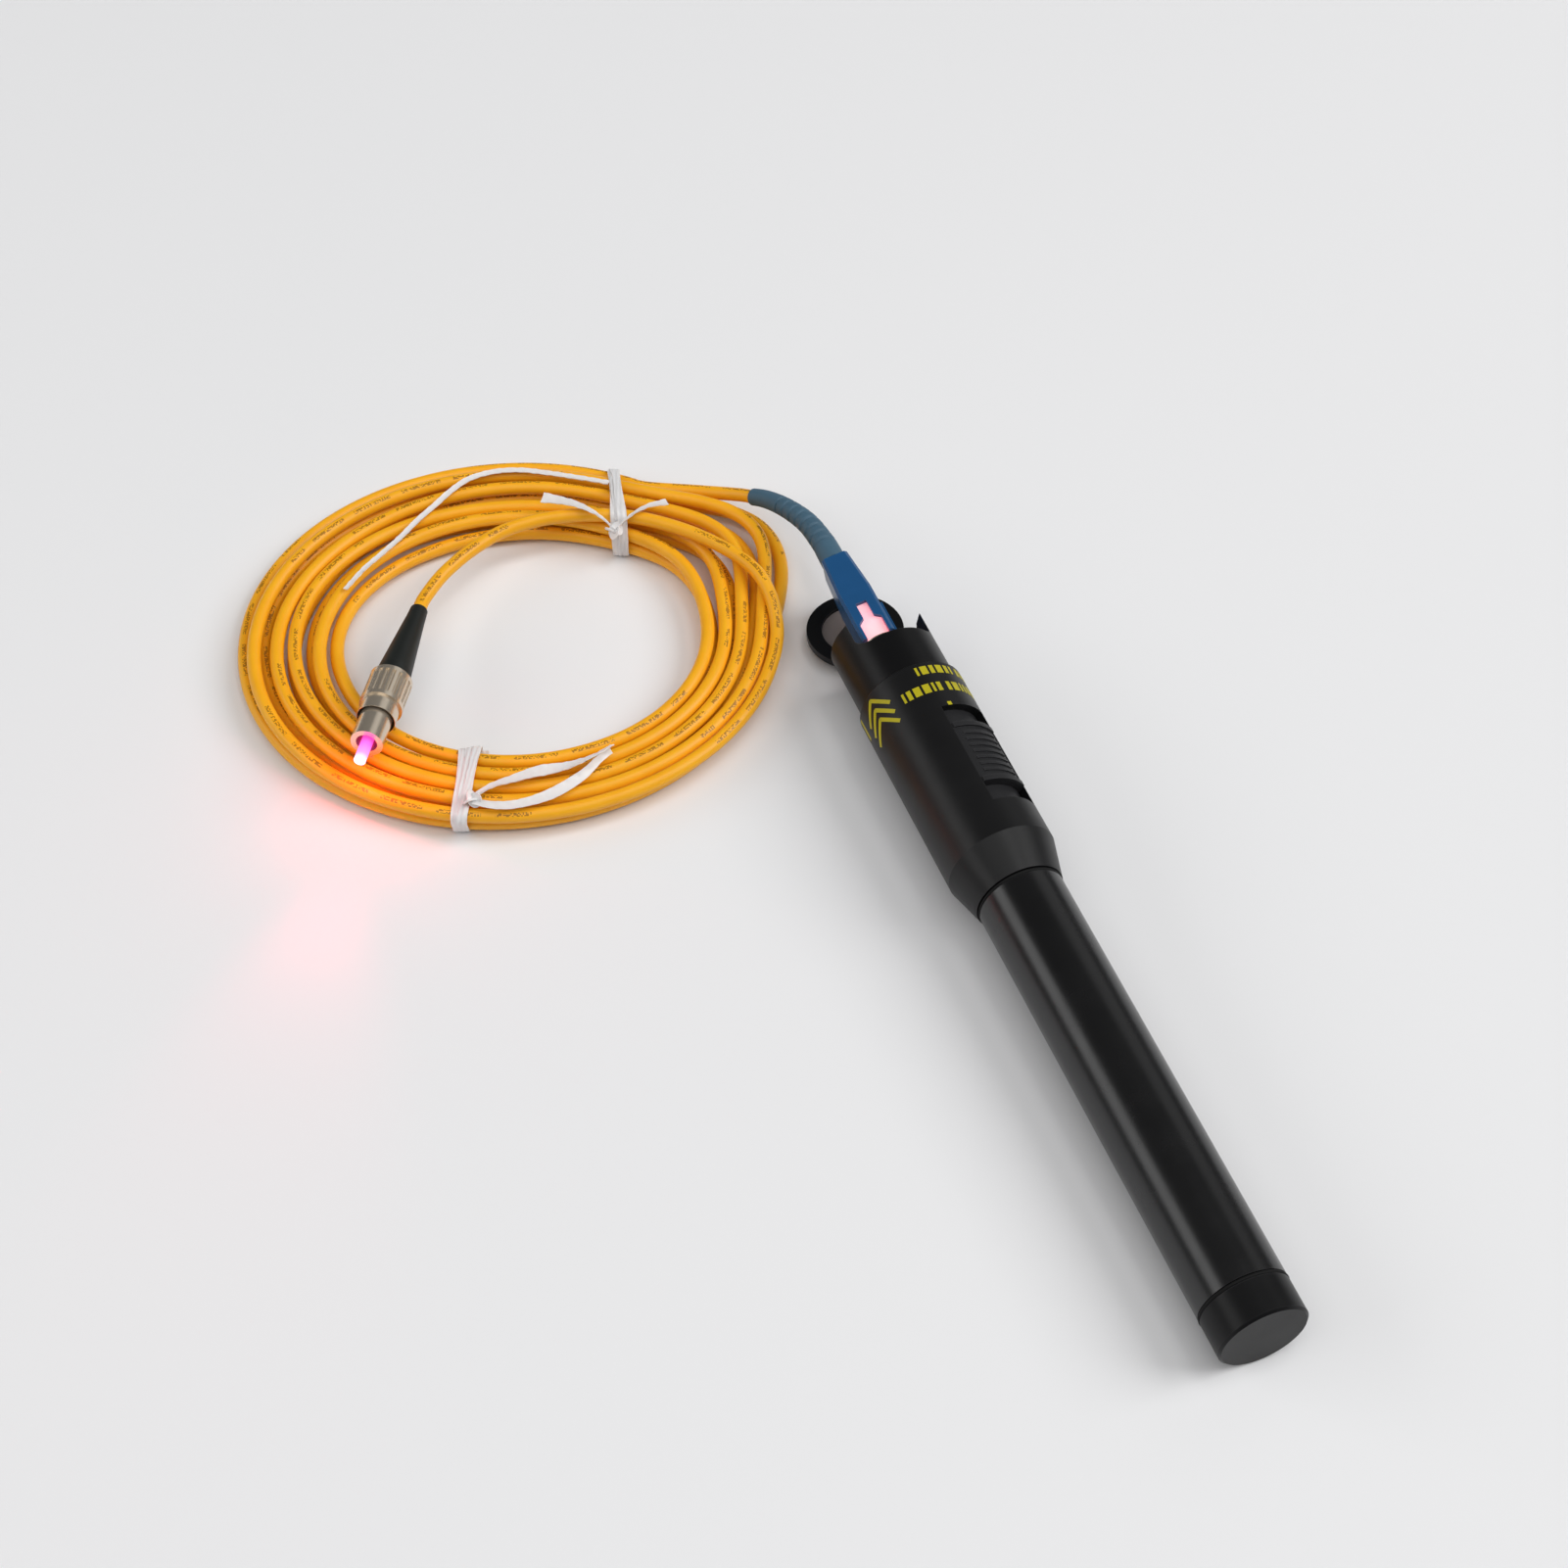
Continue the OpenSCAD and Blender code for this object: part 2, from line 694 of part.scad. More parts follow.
// Pen
module head_shell() {
    color("#1b1c1e") on_pen() difference() {
        rotate_extrude() polygon([
            [0, s_head], [cone_d / 2, s_head], [head_r, s_crease], [head_r, s_front - head_edge],
            [head_r - head_edge, s_front], [0, s_front]
        ]);
        rod(neck_r + run, s_head - over, s_web);
        rod(web_hole_r, s_head, s_front);
        rod(cavity_r, s_cavity, s_bulkhead - collar_neck_len);
        rod(collar_neck_r + run, s_cavity, s_front + over);
        facing(switch_turn) translate([track_in_r - over, -window_w / 2, s_knob - window_len / 2])
            cube([head_wall + track_t + 3 * over, window_w, window_len]);
    }
}

module battery_tube() {
    color("#1e1f21") on_pen() difference() {
        union() {
            rod(tube_r, s_tube, s_joint);
            rod(neck_r, s_tube - rear_neck_len, s_tube + over);
            rod(neck_r, s_joint - over, s_joint + front_neck_len);
        }
        rod(bore_r, s_tube - rear_neck_len - over, s_joint + front_neck_len + over);
    }
}

module seam_ring(s) {
    cord = ring_cord - 2 * seat;
    color("#111111") on_pen() translate([0, 0, s + ring_cord / 2]) torus(neck_r + seat + cord / 2, cord);
}
module joint_ring() {
    seam_ring(s_joint);
}
module tail_ring() {
    seam_ring(cap_len);
}

module finger_notch() {
    facing(notch_turn) translate([0, 0, s_rim - notch_depth]) {
        translate([0, -notch_w / 2, notch_r]) cube([collar_r + over, notch_w, notch_depth + over]);
        translate([0, notch_r - notch_w / 2, 0]) cube([collar_r + over, notch_w - 2 * notch_r, notch_depth]);
        for (y = [-1, 1]) translate([0, y * (notch_w / 2 - notch_r), notch_r])
            rotate([0, 90, 0]) cylinder(r = notch_r, h = collar_r + over);
    }
}
module hinge_ears() {
    facing(hinge_turn) for (y = [-1, 1]) translate([0, y * (hinge_w + lid_lug) / 4, 0]) {
        w = (hinge_w - lid_lug) / 2;
        translate([hinge_r - knuckle_r, -w / 2, s_rim - knuckle_r])
            cube([2 * knuckle_r, w, s_hinge - s_rim + knuckle_r]);
        translate([hinge_r, -w / 2, s_hinge]) rotate([-90, 0, 0]) cylinder(r = knuckle_r, h = w);
    }
}
module hinge_hole(r) {
    facing(hinge_turn) translate([hinge_r, -hinge_w / 2 - over, s_hinge])
        rotate([-90, 0, 0]) cylinder(r = r, h = hinge_w + 2 * over);
}
module front_collar() {
    color("#222325") on_pen() difference() {
        union() {
            difference() {
                union() {
                    rod(collar_neck_r, s_bulkhead - collar_neck_len + seat, s_front + over);
                    rod(collar_r, s_front + seat, s_rim);
                }
                rod(rear_bore_r, s_bulkhead - collar_neck_len - over, s_bulkhead);
                rod(port_thread_d / 2 + run, s_bulkhead - over, s_port + over);
                rod(mouth_r, s_port, s_rim + over);
                finger_notch();
            }
            hinge_ears();
        }
        hinge_hole(hinge_pin_d / 2 + run / 2);
    }
}
module hinge_pin() {
    color("#9a9a9a") on_pen() facing(hinge_turn) translate([hinge_r, -hinge_w / 2, s_hinge])
        rotate([-90, 0, 0]) cylinder(d = hinge_pin_d, h = hinge_w, $fn = 32);
}

module port_adapter() {
    color("#c9c9c6") on_pen() difference() {
        union() {
            rod(port_thread_d / 2, s_port_rear, s_port + over);
            rod(port_d / 2, s_port + seat, s_shoulder);
            rod(guide_d / 2, s_shoulder - over, s_mouth);
        }
        rod(nose_d / 2 + run, s_port_rear - over, s_port_rear + socket_len);
        rod(light_r, s_port_rear, s_mouth);
        rod(sleeve_d / 2 + run, s_sleeve - seat, s_mouth - guide_lip);
        rod(lip_r, s_sleeve, s_mouth + over);
    }
}
module split_sleeve() {
    color("#f2f0ea") on_pen() difference() {
        pipe(sleeve_d / 2, ferrule_r + run / 2, s_sleeve, s_sleeve_end);
        translate([0, -sleeve_slit / 2, s_sleeve - over])
            cube([sleeve_d, sleeve_slit, sleeve_len + 2 * over]);
    }
}

module laser_holder() {
    color("#c8a24a") on_pen() difference() {
        union() {
            rod(holder_d / 2, s_holder, s_holder_end);
            rod(nose_d / 2, s_holder_end - over, s_holder_end + nose_len);
        }
        rod(diode_d / 2 + run, s_holder - over, s_diode);
        rod(can_d / 2 + run, s_diode - over, s_lens - lens_back / 2);
        rod(lens_d / 2 + run, s_lens - lens_back / 2, s_lens + lens_t + lens_ring_t);
        rod(light_r + light_step, s_holder, s_holder_end + nose_len + over);
    }
}
module laser_diode() {
    color("#d8c070") on_pen() {
        rod(diode_d / 2, s_diode - flange_t, s_diode - seat);
        rod(can_d / 2, s_diode - flange_t, s_diode + can_len - seat);
        facing(switch_turn) for (y = [-1:1]) translate([board_low_h - pin_r - seat, y * pin_gap, 0])
            rod(pin_r, s_diode - flange_t - pin_len, s_diode - flange_t + flange_t / 2, $fn = 16);
    }
}
module focus_lens() {
    bulge = lens_t / 4;
    dome_r = (pow(lens_d / 2, 2) + pow(bulge, 2)) / (2 * bulge);
    color("#cfe3ee") on_pen() translate([0, 0, s_lens]) intersection() {
        rod(lens_d / 2, 0, lens_t);
        translate([0, 0, dome_r]) sphere(r = dome_r);
        translate([0, 0, lens_t - dome_r]) sphere(r = dome_r);
    }
}
module lens_ring() {
    s_ring = s_lens + lens_t;
    color("#b8923e") on_pen()
        pipe(lens_d / 2, light_r + 2 * light_step, s_ring + seat, s_ring + lens_ring_t - seat);
}

module driver_board() {
    color("#1f6b3a") on_pen() facing(switch_turn)
        translate([board_low_h, -board_w / 2, s_board + seat]) cube([board_t, board_w, board_len - seat]);
}
// One surface-mounted piece, on the board's upper face or its lower one
module chip(side, size, share) {
    x = side > 0 ? board_top + seat / 2 : board_low_h - seat / 2 - size[0];
    y = board_w * share[0] - size[1] / 2;
    translate([x, y, s_board + board_len * share[1] - size[2] / 2]) cube(size);
}
module board_parts() {
    color("#3a3a3a") on_pen() facing(switch_turn) {
        chip(1, tantalum, tantalum_share);
        chip(-1, driver_chip, driver_share);
        for (k = [0:3]) chip(-1, resistor, resistor_low_share + [0, k * resistor_step_share]);
        for (k = [0:1]) chip(1, resistor, resistor_top_share + [0, k * resistor_step_share]);
    }
}
// A slot along the pen that is as much longer than its slider as the slider moves
module slider_slot(x, high, w, len) {
    span = len + 2 * knob_travel + 2 * slot_gap;
    translate([x, -w / 2 - slot_gap, s_knob - span / 2]) cube([high, w + 2 * slot_gap, span]);
}
module switch_body() {
    color("#26282c") on_pen() facing(switch_turn) difference() {
        translate([board_top + seat, -switch_w / 2, s_knob - switch_len / 2])
            cube([switch_h, switch_w, switch_len]);
        slider_slot(board_top + seat + switch_wall, switch_h, lever_w, lever_w);
    }
}
module switch_track() {
    color("#141414") on_pen() facing(switch_turn) difference() {
        intersection() {
            pipe(track_out_r, track_in_r, s_knob - track_len / 2, s_knob + track_len / 2);
            translate([0, -track_w / 2, s_knob - track_len / 2]) cube([head_r, track_w, track_len]);
        }
        slider_slot(0, head_r, stem_w, stem_len);
    }
}
// A slice of the button between two radii, from station a to b
module knob_slice(in_r, out_r, w, a, b) {
    intersection() {
        pipe(out_r, in_r, a, b);
        translate([0, -w / 2, a]) cube([out_r, w, b - a]);
    }
}
module slide_knob() {
    bottom_r = track_out_r + run;
    a = s_knob - knob_len / 2;
    b = s_knob + knob_len / 2;
    ribs = knob_len - 2 * knob_rim_w;
    color("#2a2b2d") on_pen() facing(switch_turn) difference() {
        union() {
            knob_slice(bottom_r, knob_base_r, knob_w, a, b);
            knob_slice(bottom_r, knob_rim_r, knob_w, a, a + knob_rim_w);
            knob_slice(bottom_r, knob_rim_r, knob_w, b - knob_rim_w, b);
            for (k = [1:rib_count]) let (s = a + knob_rim_w + ribs * k / (rib_count + 1))
                knob_slice(bottom_r, knob_rib_r, knob_w - 2 * knob_rim_w, s - rib_w / 2, s + rib_w / 2);
            translate([stem_bottom, -stem_w / 2, s_knob - stem_len / 2])
                cube([bottom_r + run - stem_bottom, stem_w, stem_len]);
        }
        translate([stem_bottom - over, -lever_w / 2 - run, s_knob - lever_w / 2 - run])
            cube([lever_pocket - stem_bottom + over, lever_w + 2 * run, lever_w + 2 * run]);
    }
}
module switch_lever() {
    base = board_top + seat + switch_wall + run;
    color("#e8e6df") on_pen() facing(switch_turn)
        translate([base, -lever_w / 2, s_knob - lever_w / 2]) cube([lever_top_r - base, lever_w, lever_w]);
}

module contact_carrier() {
    color("#2f3136") on_pen() difference() {
        union() {
            rod(collar_neck_r - seat, s_cavity + seat, s_board);
            rod(web_hole_r - seat, s_cavity - carrier_boss, s_board);
            facing(switch_turn) for (y = [-1, 1]) for (x = [board_low_h - rail_w - run, board_top + run])
                translate([x, y * (board_w / 2 - rail_w / 2) - rail_w / 2, s_board - over])
                    cube([rail_w, rail_w, rail_len + over]);
        }
        rod(rivet_stem_r + run, s_web - over, s_board + over);
    }
}
module front_contact() {
    color("#c8a24a") on_pen() {
        rod(rivet_r, s_contact, s_contact + rivet_h - seat);
        rod(rivet_stem_r, s_contact, s_board + rivet_tail);
    }
}

module cell(s) {
    color("#2f6fb0") on_pen() rotate_extrude() polygon([
        [0, s], [cell_d / 2 - cell_edge, s], [cell_d / 2, s + cell_edge],
        [cell_d / 2, s + cell_len - nub_h - cell_edge], [cell_d / 2 - cell_edge, s + cell_len - nub_h],
        [nub_d / 2, s + cell_len - nub_h], [nub_d / 2, s + cell_len], [0, s + cell_len]
    ]);
}
module battery_front() {
    cell(s_cell_front);
}
module battery_rear() {
    cell(s_cell_rear);
}

module tail_cap() {
    color("#1b1c1e") on_pen() difference() {
        rotate_extrude() polygon([
            [0, 0], [tube_r - cap_edge, 0], [tube_r, cap_edge], [tube_r, cap_len], [0, cap_len]
        ]);
        rod(neck_r + run, cap_wall, cap_len + over);
    }
}
module contact_plate() {
    color("#c9c9c6") on_pen() rod(plate_r, cap_wall + seat / 2, cap_wall + plate_t);
}
module tail_spring() {
    half = spring_wire / 2;
    color("#b9b9b4") on_pen()
        helix(spring_d / 2, spring_tip_r, spring_wire, spring_turns, s_spring + half, s_cell_rear - half);
}

module dust_cap() {
    lug_w = lid_lug - 2 * ear_gap;
    lug_low = s_hinge - knuckle_r + free_gap;
    slot_w = (hinge_w - lid_lug) / 2 + 2 * ear_gap;
    color("#1d1e20") on_lid() difference() {
        union() {
            rotate_extrude() polygon([
                [0, s_rim + seat], [lid_r, s_rim + seat], [lid_r, s_rim + lid_t - lid_edge],
                [lid_r - lid_edge, s_rim + lid_t], [0, s_rim + lid_t]
            ]);
            facing(180) translate([0, -lug_w / 2, 0]) {
                translate([lid_r - 2 * knuckle_r, 0, lug_low])
                    cube([hinge_r - lid_r + 2 * knuckle_r, lug_w, s_rim + lid_t - lug_low]);
                translate([hinge_r, 0, s_hinge]) rotate([-90, 0, 0]) cylinder(r = knuckle_r, h = lug_w);
            }
        }
        rod(recess_d / 2, s_rim - over, s_rim + lid_recess);
        facing(180) for (y = [-1, 1]) translate([0, y * (hinge_w + lid_lug) / 4 - slot_w / 2, 0])
            translate([hinge_r - knuckle_r - lid_cut, 0, s_rim - over])
                cube([lid_r, slot_w, lid_t + 2 * over]);
        facing(180) translate([hinge_r, -lid_lug, s_hinge])
            rotate([-90, 0, 0]) cylinder(r = hinge_pin_d / 2 + run, h = 2 * lid_lug);
    }
}
module cap_seal() {
    s_seat = s_rim + lid_recess;
    color("#6e6a66") on_lid()
        pipe(recess_d / 2 - run, guide_d / 2 + 2 * free_gap, s_seat - seal_t, s_seat - seat / 2);
}

// Square plug
module sc_frame() {
    color("#f3f3f1") on_plug() difference() {
        bevelled_block(frame_h, frame_w, frame_edge, s_frame, s_frame_end);
        rod(guide_hole_r, s_frame - over, s_stop);
        rod(stop_r, s_frame, s_stop + stop_t + over);
        rod(chamber_r, s_stop + stop_t, s_frame_end + over);
    }
}
module sc_ferrule() {
    color("#fbf6ee") on_plug() {
        rod(ferrule_r, s_frame + ferrule_back, s_sc_flange + over);
        rod(flange_r, s_sc_flange, s_sc_flange + flange_len);
    }
}
module sc_spring() {
    r = flange_r - float_wire;
    a = s_sc_spring + float_wire / 2;
    color("#b9b9b4") on_plug() helix(r, r, float_wire, float_turns, a, a + sc_spring_len - float_wire);
}
module sc_crimp() {
    color("#bdbdb8") on_plug() difference() {
        union() {
            rod(flange_r, s_crimp, s_frame_end + over);
            rod(crimp_stem_r, s_frame_end, s_boot_end - 2 * boot_lap - seat);
            rod(crimp_neck_r, s_frame_end, s_grip_end - boot_inside - free_gap);
        }
        rod(stop_r / 2, s_crimp - over, s_boot_end);
    }
}
module grip_window() {
    neck_at = grip_window_len - window_neck_len;
    translate([plug_h / 2 - grip_wall_x - over, 0, s_grip]) rotate([90, 0, 90])
        linear_extrude(grip_wall_x + 2 * over) polygon([
            [-window_wide, -over], [window_wide, -over], [window_wide, neck_at - window_slope],
            [window_neck, neck_at], [window_neck, grip_window_len], [-window_neck, grip_window_len],
            [-window_neck, neck_at], [-window_wide, neck_at - window_slope]
        ]);
}
module sc_grip() {
    color("#1f5c95") on_plug() difference() {
        union() {
            bevelled_block(plug_h, plug_w, grip_edge, s_grip, s_waist + hull_slice);
            hull() {
                bevelled_block(plug_h, plug_w, grip_edge, s_waist, s_waist + hull_slice);
                bevelled_block(waist_h, waist_w, grip_edge, s_grip_end - hull_slice, s_grip_end);
            }
            translate([-key_w / 2, plug_w / 2 - over, s_grip]) cube([key_w, key_h + over, key_len]);
        }
        bevelled_block(frame_h + 2 * run, frame_w + 2 * run, frame_edge, s_grip - over, s_narrow);
        rod(waist_w / 2 - waist_wall, s_grip, s_grip_end + over);
        grip_window();
        rotate([0, 0, 180]) grip_window();
    }
}
module sc_boot() {
    // Distance along the line to each of its points, and the point at a distance
    reach = [for (i = [0:len(boot_line) - 1]) path_len([for (k = [0:i]) boot_line[k]])];
    function along(d, i = 1) =
        i < len(boot_line) - 1 && reach[i] < d
        ? along(d, i + 1)
        : let (k = (d - reach[i - 1]) / (reach[i] - reach[i - 1]))
            (1 - k) * boot_line[i - 1] + k * boot_line[i];
    // Four rings to each groove: two high, two low
    fine = 4 * boot_grooves + 3;
    points = [for (k = [0:fine]) along(end_of(reach) * k / fine)];
    radii = [
        for (k = [0:fine])
            (boot_base_d + (boot_tip_d - boot_base_d) * k / fine) / 2 - run
                - (k > 2 && k < fine && k % 4 >= 2 ? boot_groove : 0)
    ];
    color("#2f5f80") {
        on_plug() difference() {
            union() {
                rod(boot_front_r, s_grip_end - boot_inside, s_grip_end + boot_step + over);
                rod(boot_base_d / 2, s_grip_end + boot_step, s_boot_end);
            }
            rod(crimp_stem_r + run, s_grip_end - boot_inside - over, s_boot_end - 2 * boot_lap);
        }
        tube_along(points, radii, boot_sides);
    }
}

// Cord
module cord_sc() {
    color("#f2ac28") tube_along(sc_line, cord_r, cord_sides);
}
module cord_coil() {
    color("#f2ac28") tube_along(coil_part, cord_r, coil_sides);
}
module cord_fc() {
    color("#f2ac28") tube_along(fc_line, cord_r, cord_sides);
}

// Round plug
module fc_body() {
    color("#c4c1ba") on_fc() difference() {
        union() {
            rod(fc_neck_r, fc_base + seat, fc_flange_at + over);
            rod(fc_flange_r, fc_flange_at, fc_flange_at + fc_flange_len);
            rod(fc_barrel_r, fc_flange_at, fc_barrel_end);
            translate([fc_barrel_r - over, -fc_key_w / 2, fc_barrel_end - fc_key_len])
                cube([fc_key_h + over, fc_key_w, fc_key_len]);
        }
        rod(fc_bore_r, fc_base - over, nut_end);
        rod(fc_stop_r, fc_base, fc_barrel_end + over);
        rod(fc_bore_r, nut_end + fc_web, fc_barrel_end + over);
    }
}
module fc_stem() {
    color("#bdbdb8") on_fc() difference() {
        union() {
            rod(fc_stem_r, fc_stem_at, fc_base);
            rod(fc_bore_r - run, fc_base - over, fc_base + fc_nose_len);
        }
        rod(stop_r / 2, fc_stem_at - over, fc_base + fc_nose_len + over);
    }
}
module fc_ferrule() {
    color("#fbf6ee") on_fc() {
        rod(ferrule_r, fc_flange_front - over, fc_tip);
        rod(fc_bore_r - run, fc_flange_front - fc_ferrule_flange, fc_flange_front);
    }
}
module fc_spring() {
    r = fc_bore_r - run - float_wire;
    b = fc_flange_front - fc_ferrule_flange - float_travel - spring_gap - float_wire / 2;
    color("#b9b9b4") on_fc() helix(r, r, float_wire, float_turns, b - fc_spring_len + float_wire, b);
}
module fc_clip() {
    a = nut_at + nut_lip + seat;
    color("#8f8f8a") on_fc() difference() {
        pipe(clip_out_r, clip_in_r, a, a + clip_t);
        translate([0, -clip_gap / 2, nut_at]) cube([clip_out_r + over, clip_gap, nut_lip + clip_t + over]);
    }
}
module fc_nut() {
    color("#cbc8c0") on_fc() difference() {
        union() {
            rod(nut_d / 2, nut_at, nut_at + nut_knurl_len);
            rod(nut_d / 2 - nut_step, nut_at + nut_knurl_len - over, nut_end);
        }
        rod(nut_lip_r, nut_at - over, nut_end);
        rod(nut_bore_r, nut_at + nut_lip, nut_end + over);
        for (k = [0:nut_flutes - 1]) rotate([0, 0, 360 * k / nut_flutes])
            translate([nut_d / 2, 0, nut_at + nut_plain])
                cylinder(d = nut_flute_d, h = nut_knurl_len - 2 * nut_plain, $fn = 16);
    }
}
module fc_boot() {
    color("#1d1f1c") on_fc() difference() {
        rotate_extrude() polygon([
            [0, 0], [boot_tip_d / 2, 0], [boot_tip_d / 2 + fc_tip_swell, fc_tip_len],
            [fc_boot_d / 2, fc_base - fc_boot_straight], [fc_boot_d / 2, fc_base], [0, fc_base]
        ]);
        rod(fc_stem_r + run, fc_stem_at - seat, fc_base + over);
    }
}

// Ties: a band round the turns, from inside the coil to outside it, with its ends lying on top
module tie_band(share, outline) {
    u = coil_half_u * share;
    translate([u - tie_w / 2, 0, 0]) rotate([90, 0, 90]) linear_extrude(tie_w) difference() {
        offset(delta = tie_t, chamfer = true) polygon(outline);
        polygon(outline);
    }
}
module tie_ends(shares) {
    for (line = shares) {
        points = [for (p = line) [p[0] * coil_half_u, p[1] * coil_half_v, p[2] * tie_over]];
        strip_along(points, tail_w, tail_t);
    }
}
module tie_top() {
    inner = top_in_share * coil_half_v;
    outer = top_out_share * coil_half_v;
    step = top_step_shares * coil_half_v;
    color("#f1efec") on_coil() {
        tie_band(tie_top_share, [
            [inner, tie_low], [outer, tie_low], [outer, tie_high], [step[2], tie_high], [step[1], tie_over],
            [step[0], tie_over], [inner, tie_high]
        ]);
        tie_ends(tie_tail_shares);
    }
}
module tie_bottom() {
    inner = bottom_in_share * coil_half_v;
    outer = bottom_out_share * coil_half_v;
    color("#f1efec") on_coil() {
        tie_band(tie_bottom_share, [
            [outer, tie_low], [inner, tie_low], [inner, tie_high], [outer, tie_high]
        ]);
        tie_ends(tie_bow_shares);
    }
}

head_shell();
battery_tube();
joint_ring();
tail_ring();
front_collar();
hinge_pin();
port_adapter();
split_sleeve();
laser_holder();
laser_diode();
focus_lens();
lens_ring();
driver_board();
board_parts();
switch_body();
switch_track();
contact_carrier();
front_contact();
battery_front();
battery_rear();
slide_knob();
switch_lever();
tail_cap();
contact_plate();
tail_spring();
dust_cap();
cap_seal();
sc_frame();
sc_ferrule();
sc_spring();
sc_crimp();
sc_grip();
sc_boot();
cord_sc();
cord_coil();
cord_fc();
fc_body();
fc_stem();
fc_spring();
fc_ferrule();
fc_clip();
fc_nut();
fc_boot();
tie_top();
tie_bottom();
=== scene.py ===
"""A pen-shaped visual fault locator, plugged into a coiled patch cord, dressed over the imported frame.

Lengths are metres. Angles round the pen are measured from its top, to the right when looking from
its tail towards its port.
"""

import json

import bpy
import numpy as np
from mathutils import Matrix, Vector


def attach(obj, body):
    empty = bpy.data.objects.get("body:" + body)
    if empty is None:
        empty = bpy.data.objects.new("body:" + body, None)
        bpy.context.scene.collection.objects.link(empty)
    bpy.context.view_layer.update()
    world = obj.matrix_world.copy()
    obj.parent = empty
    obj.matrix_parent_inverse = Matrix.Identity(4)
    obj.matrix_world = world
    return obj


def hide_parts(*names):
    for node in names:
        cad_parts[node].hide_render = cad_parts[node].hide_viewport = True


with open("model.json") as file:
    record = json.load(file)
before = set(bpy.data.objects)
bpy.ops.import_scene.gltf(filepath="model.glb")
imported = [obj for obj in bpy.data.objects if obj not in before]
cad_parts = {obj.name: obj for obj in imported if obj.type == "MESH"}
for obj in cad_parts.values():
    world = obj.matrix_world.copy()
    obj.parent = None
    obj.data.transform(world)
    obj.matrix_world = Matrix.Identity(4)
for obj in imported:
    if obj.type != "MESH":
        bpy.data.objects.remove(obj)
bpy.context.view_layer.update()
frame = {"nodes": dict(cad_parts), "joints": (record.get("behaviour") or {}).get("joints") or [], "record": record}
JOINTS = {joint["name"]: joint for joint in frame["joints"]}
MM = 0.001

# The pen's axis runs from its tail, and the round plug's from the tip of its boot
PEN_AT = np.array(JOINTS["tail_cap_turn"]["pos_m"])
PEN_ALONG = -np.array(JOINTS["tail_cap_turn"]["axis"])
PEN_LEFT = np.array([0.0, 1.0, 0.0])
PEN_UP = np.cross(PEN_ALONG, PEN_LEFT)
NUT_STATION = 22.2 * MM
PLUG_ALONG = np.array(JOINTS["nut_spin"]["axis"])
PLUG_AT = np.array(JOINTS["nut_spin"]["pos_m"]) - NUT_STATION * PLUG_ALONG

# Sizes shared with the construction. The routes count from the floor under the rim of the pen's mouth
RIM = 176.0 * MM
MOUTH = np.array([PEN_AT[0] + RIM, 0.0, 0.0])
HEAD_R = 11.5 * MM
GRIP_END = 198.6 * MM
BOOT_STRAIGHT = 204.8 * MM
BOOT_BASE_R = 2.8 * MM
BOOT_TIP_R = 1.9 * MM
BOOT_THROAT_R = 2.25 * MM
CORD_D = 3.0 * MM

# The coil's turns, as an oval spiral in two layers. Angles are degrees, but for the turn of its axes
COIL_AT = MOUTH + np.array([38.5, 69.9, 0.0]) * MM
COIL_TURN = np.radians(-112)
COIL_HALF = np.array([58.0, 52.5]) * MM
COIL_START = 65.0
COIL_SWEEP = 3165.0
COIL_LIFT = 0.7 * MM
LANE_TIGHT = 3.45 * MM
LANE_SPREAD = 1.9 * MM
SPREAD_TURN = 45.0
LAYER_RISE = 3.45 * MM
LAYER_CHANGE = 180.0

# Its wander within the lanes: the room left between turns, two sines as (share, waves a turn, phase),
# the lanes that it takes to grow, and how it fades on both sides of the change of layer
LANE_GAP = 0.1 * MM
SWAYS = [(0.6, 1.37, 0.4), (0.4, 2.63, 1.9)]
GROWN_LANES = 0.8
CALM_HALF = 120.0
CALM_FADE = 240.0

# The upper layer's slip inwards: its size, where it begins past the change, how long it grows, and its end
UPPER_SLIP = 2.6 * MM
SLIP_FROM = 180.0
SLIP_GROWS = 720.0
SLIP_ENDS = 120.0

# The bulge under the bend boot: its size and place, its widths before and after that, and its loss by lane
BULGE = 11.8 * MM
BULGE_UPPER_LOWER = 3.3 * MM
BULGE_AT = 34.0
BULGE_BEFORE = 24.0
BULGE_UPPER_LESS = 6.0
BULGE_AFTER = 18.0
BULGE_FIRST = 1.24
BULGE_LOSS = 0.27

# Routes, given one by one: the boot and the cord behind it, and on the coil's axes the stretch across it
BOOT_ROUTE = [
    (30.5, 0, 13.3), (36.9, 0.5, 12.7), (42.2, 1.7, 11.7), (47.4, 3.4, 10.3), (51.6, 5.3, 8.8),
    (54.2, 7, 7.6),
]
FREE_ROUTE = [(61.2, 12.9, 4.5), (65.1, 17.6, 3.2)]
CROSSING_ROUTE = [
    (58.1, 0, 6.3), (56.8, 7, 8.1), (54, 13, 9.3), (50, 17.7, 9.4), (45, 21.7, 9.4), (39.5, 25.1, 9.4),
    (33.5, 27.8, 9.4), (28, 29.6, 9.4), (22.5, 30.4, 9.4), (17, 30.6, 9.4), (11.5, 30.2, 9.4),
    (6.5, 29.2, 9.4), (1.5, 27.4, 9.4), (-2.8, 25, 9.4), (-6.4, 21.9, 9.4), (-9.5, 18.7, 9.4),
    (-12.2, 15.3, 9.4), (-14.6, 11.7, 9.4), (-16.7, 7.6, 9.3),
]


# Points and curves
SPAN_STEPS = 16


def pen_point(station, radius, turn):
    """A point on the pen: the axis point at the station, plus radius outwards at the turn from the top."""
    station, radius, turn = (np.asarray(v, float)[..., None] for v in (station, radius, turn))
    out = np.cos(turn) * PEN_UP - np.sin(turn) * PEN_LEFT
    return PEN_AT + station * PEN_ALONG + radius * out


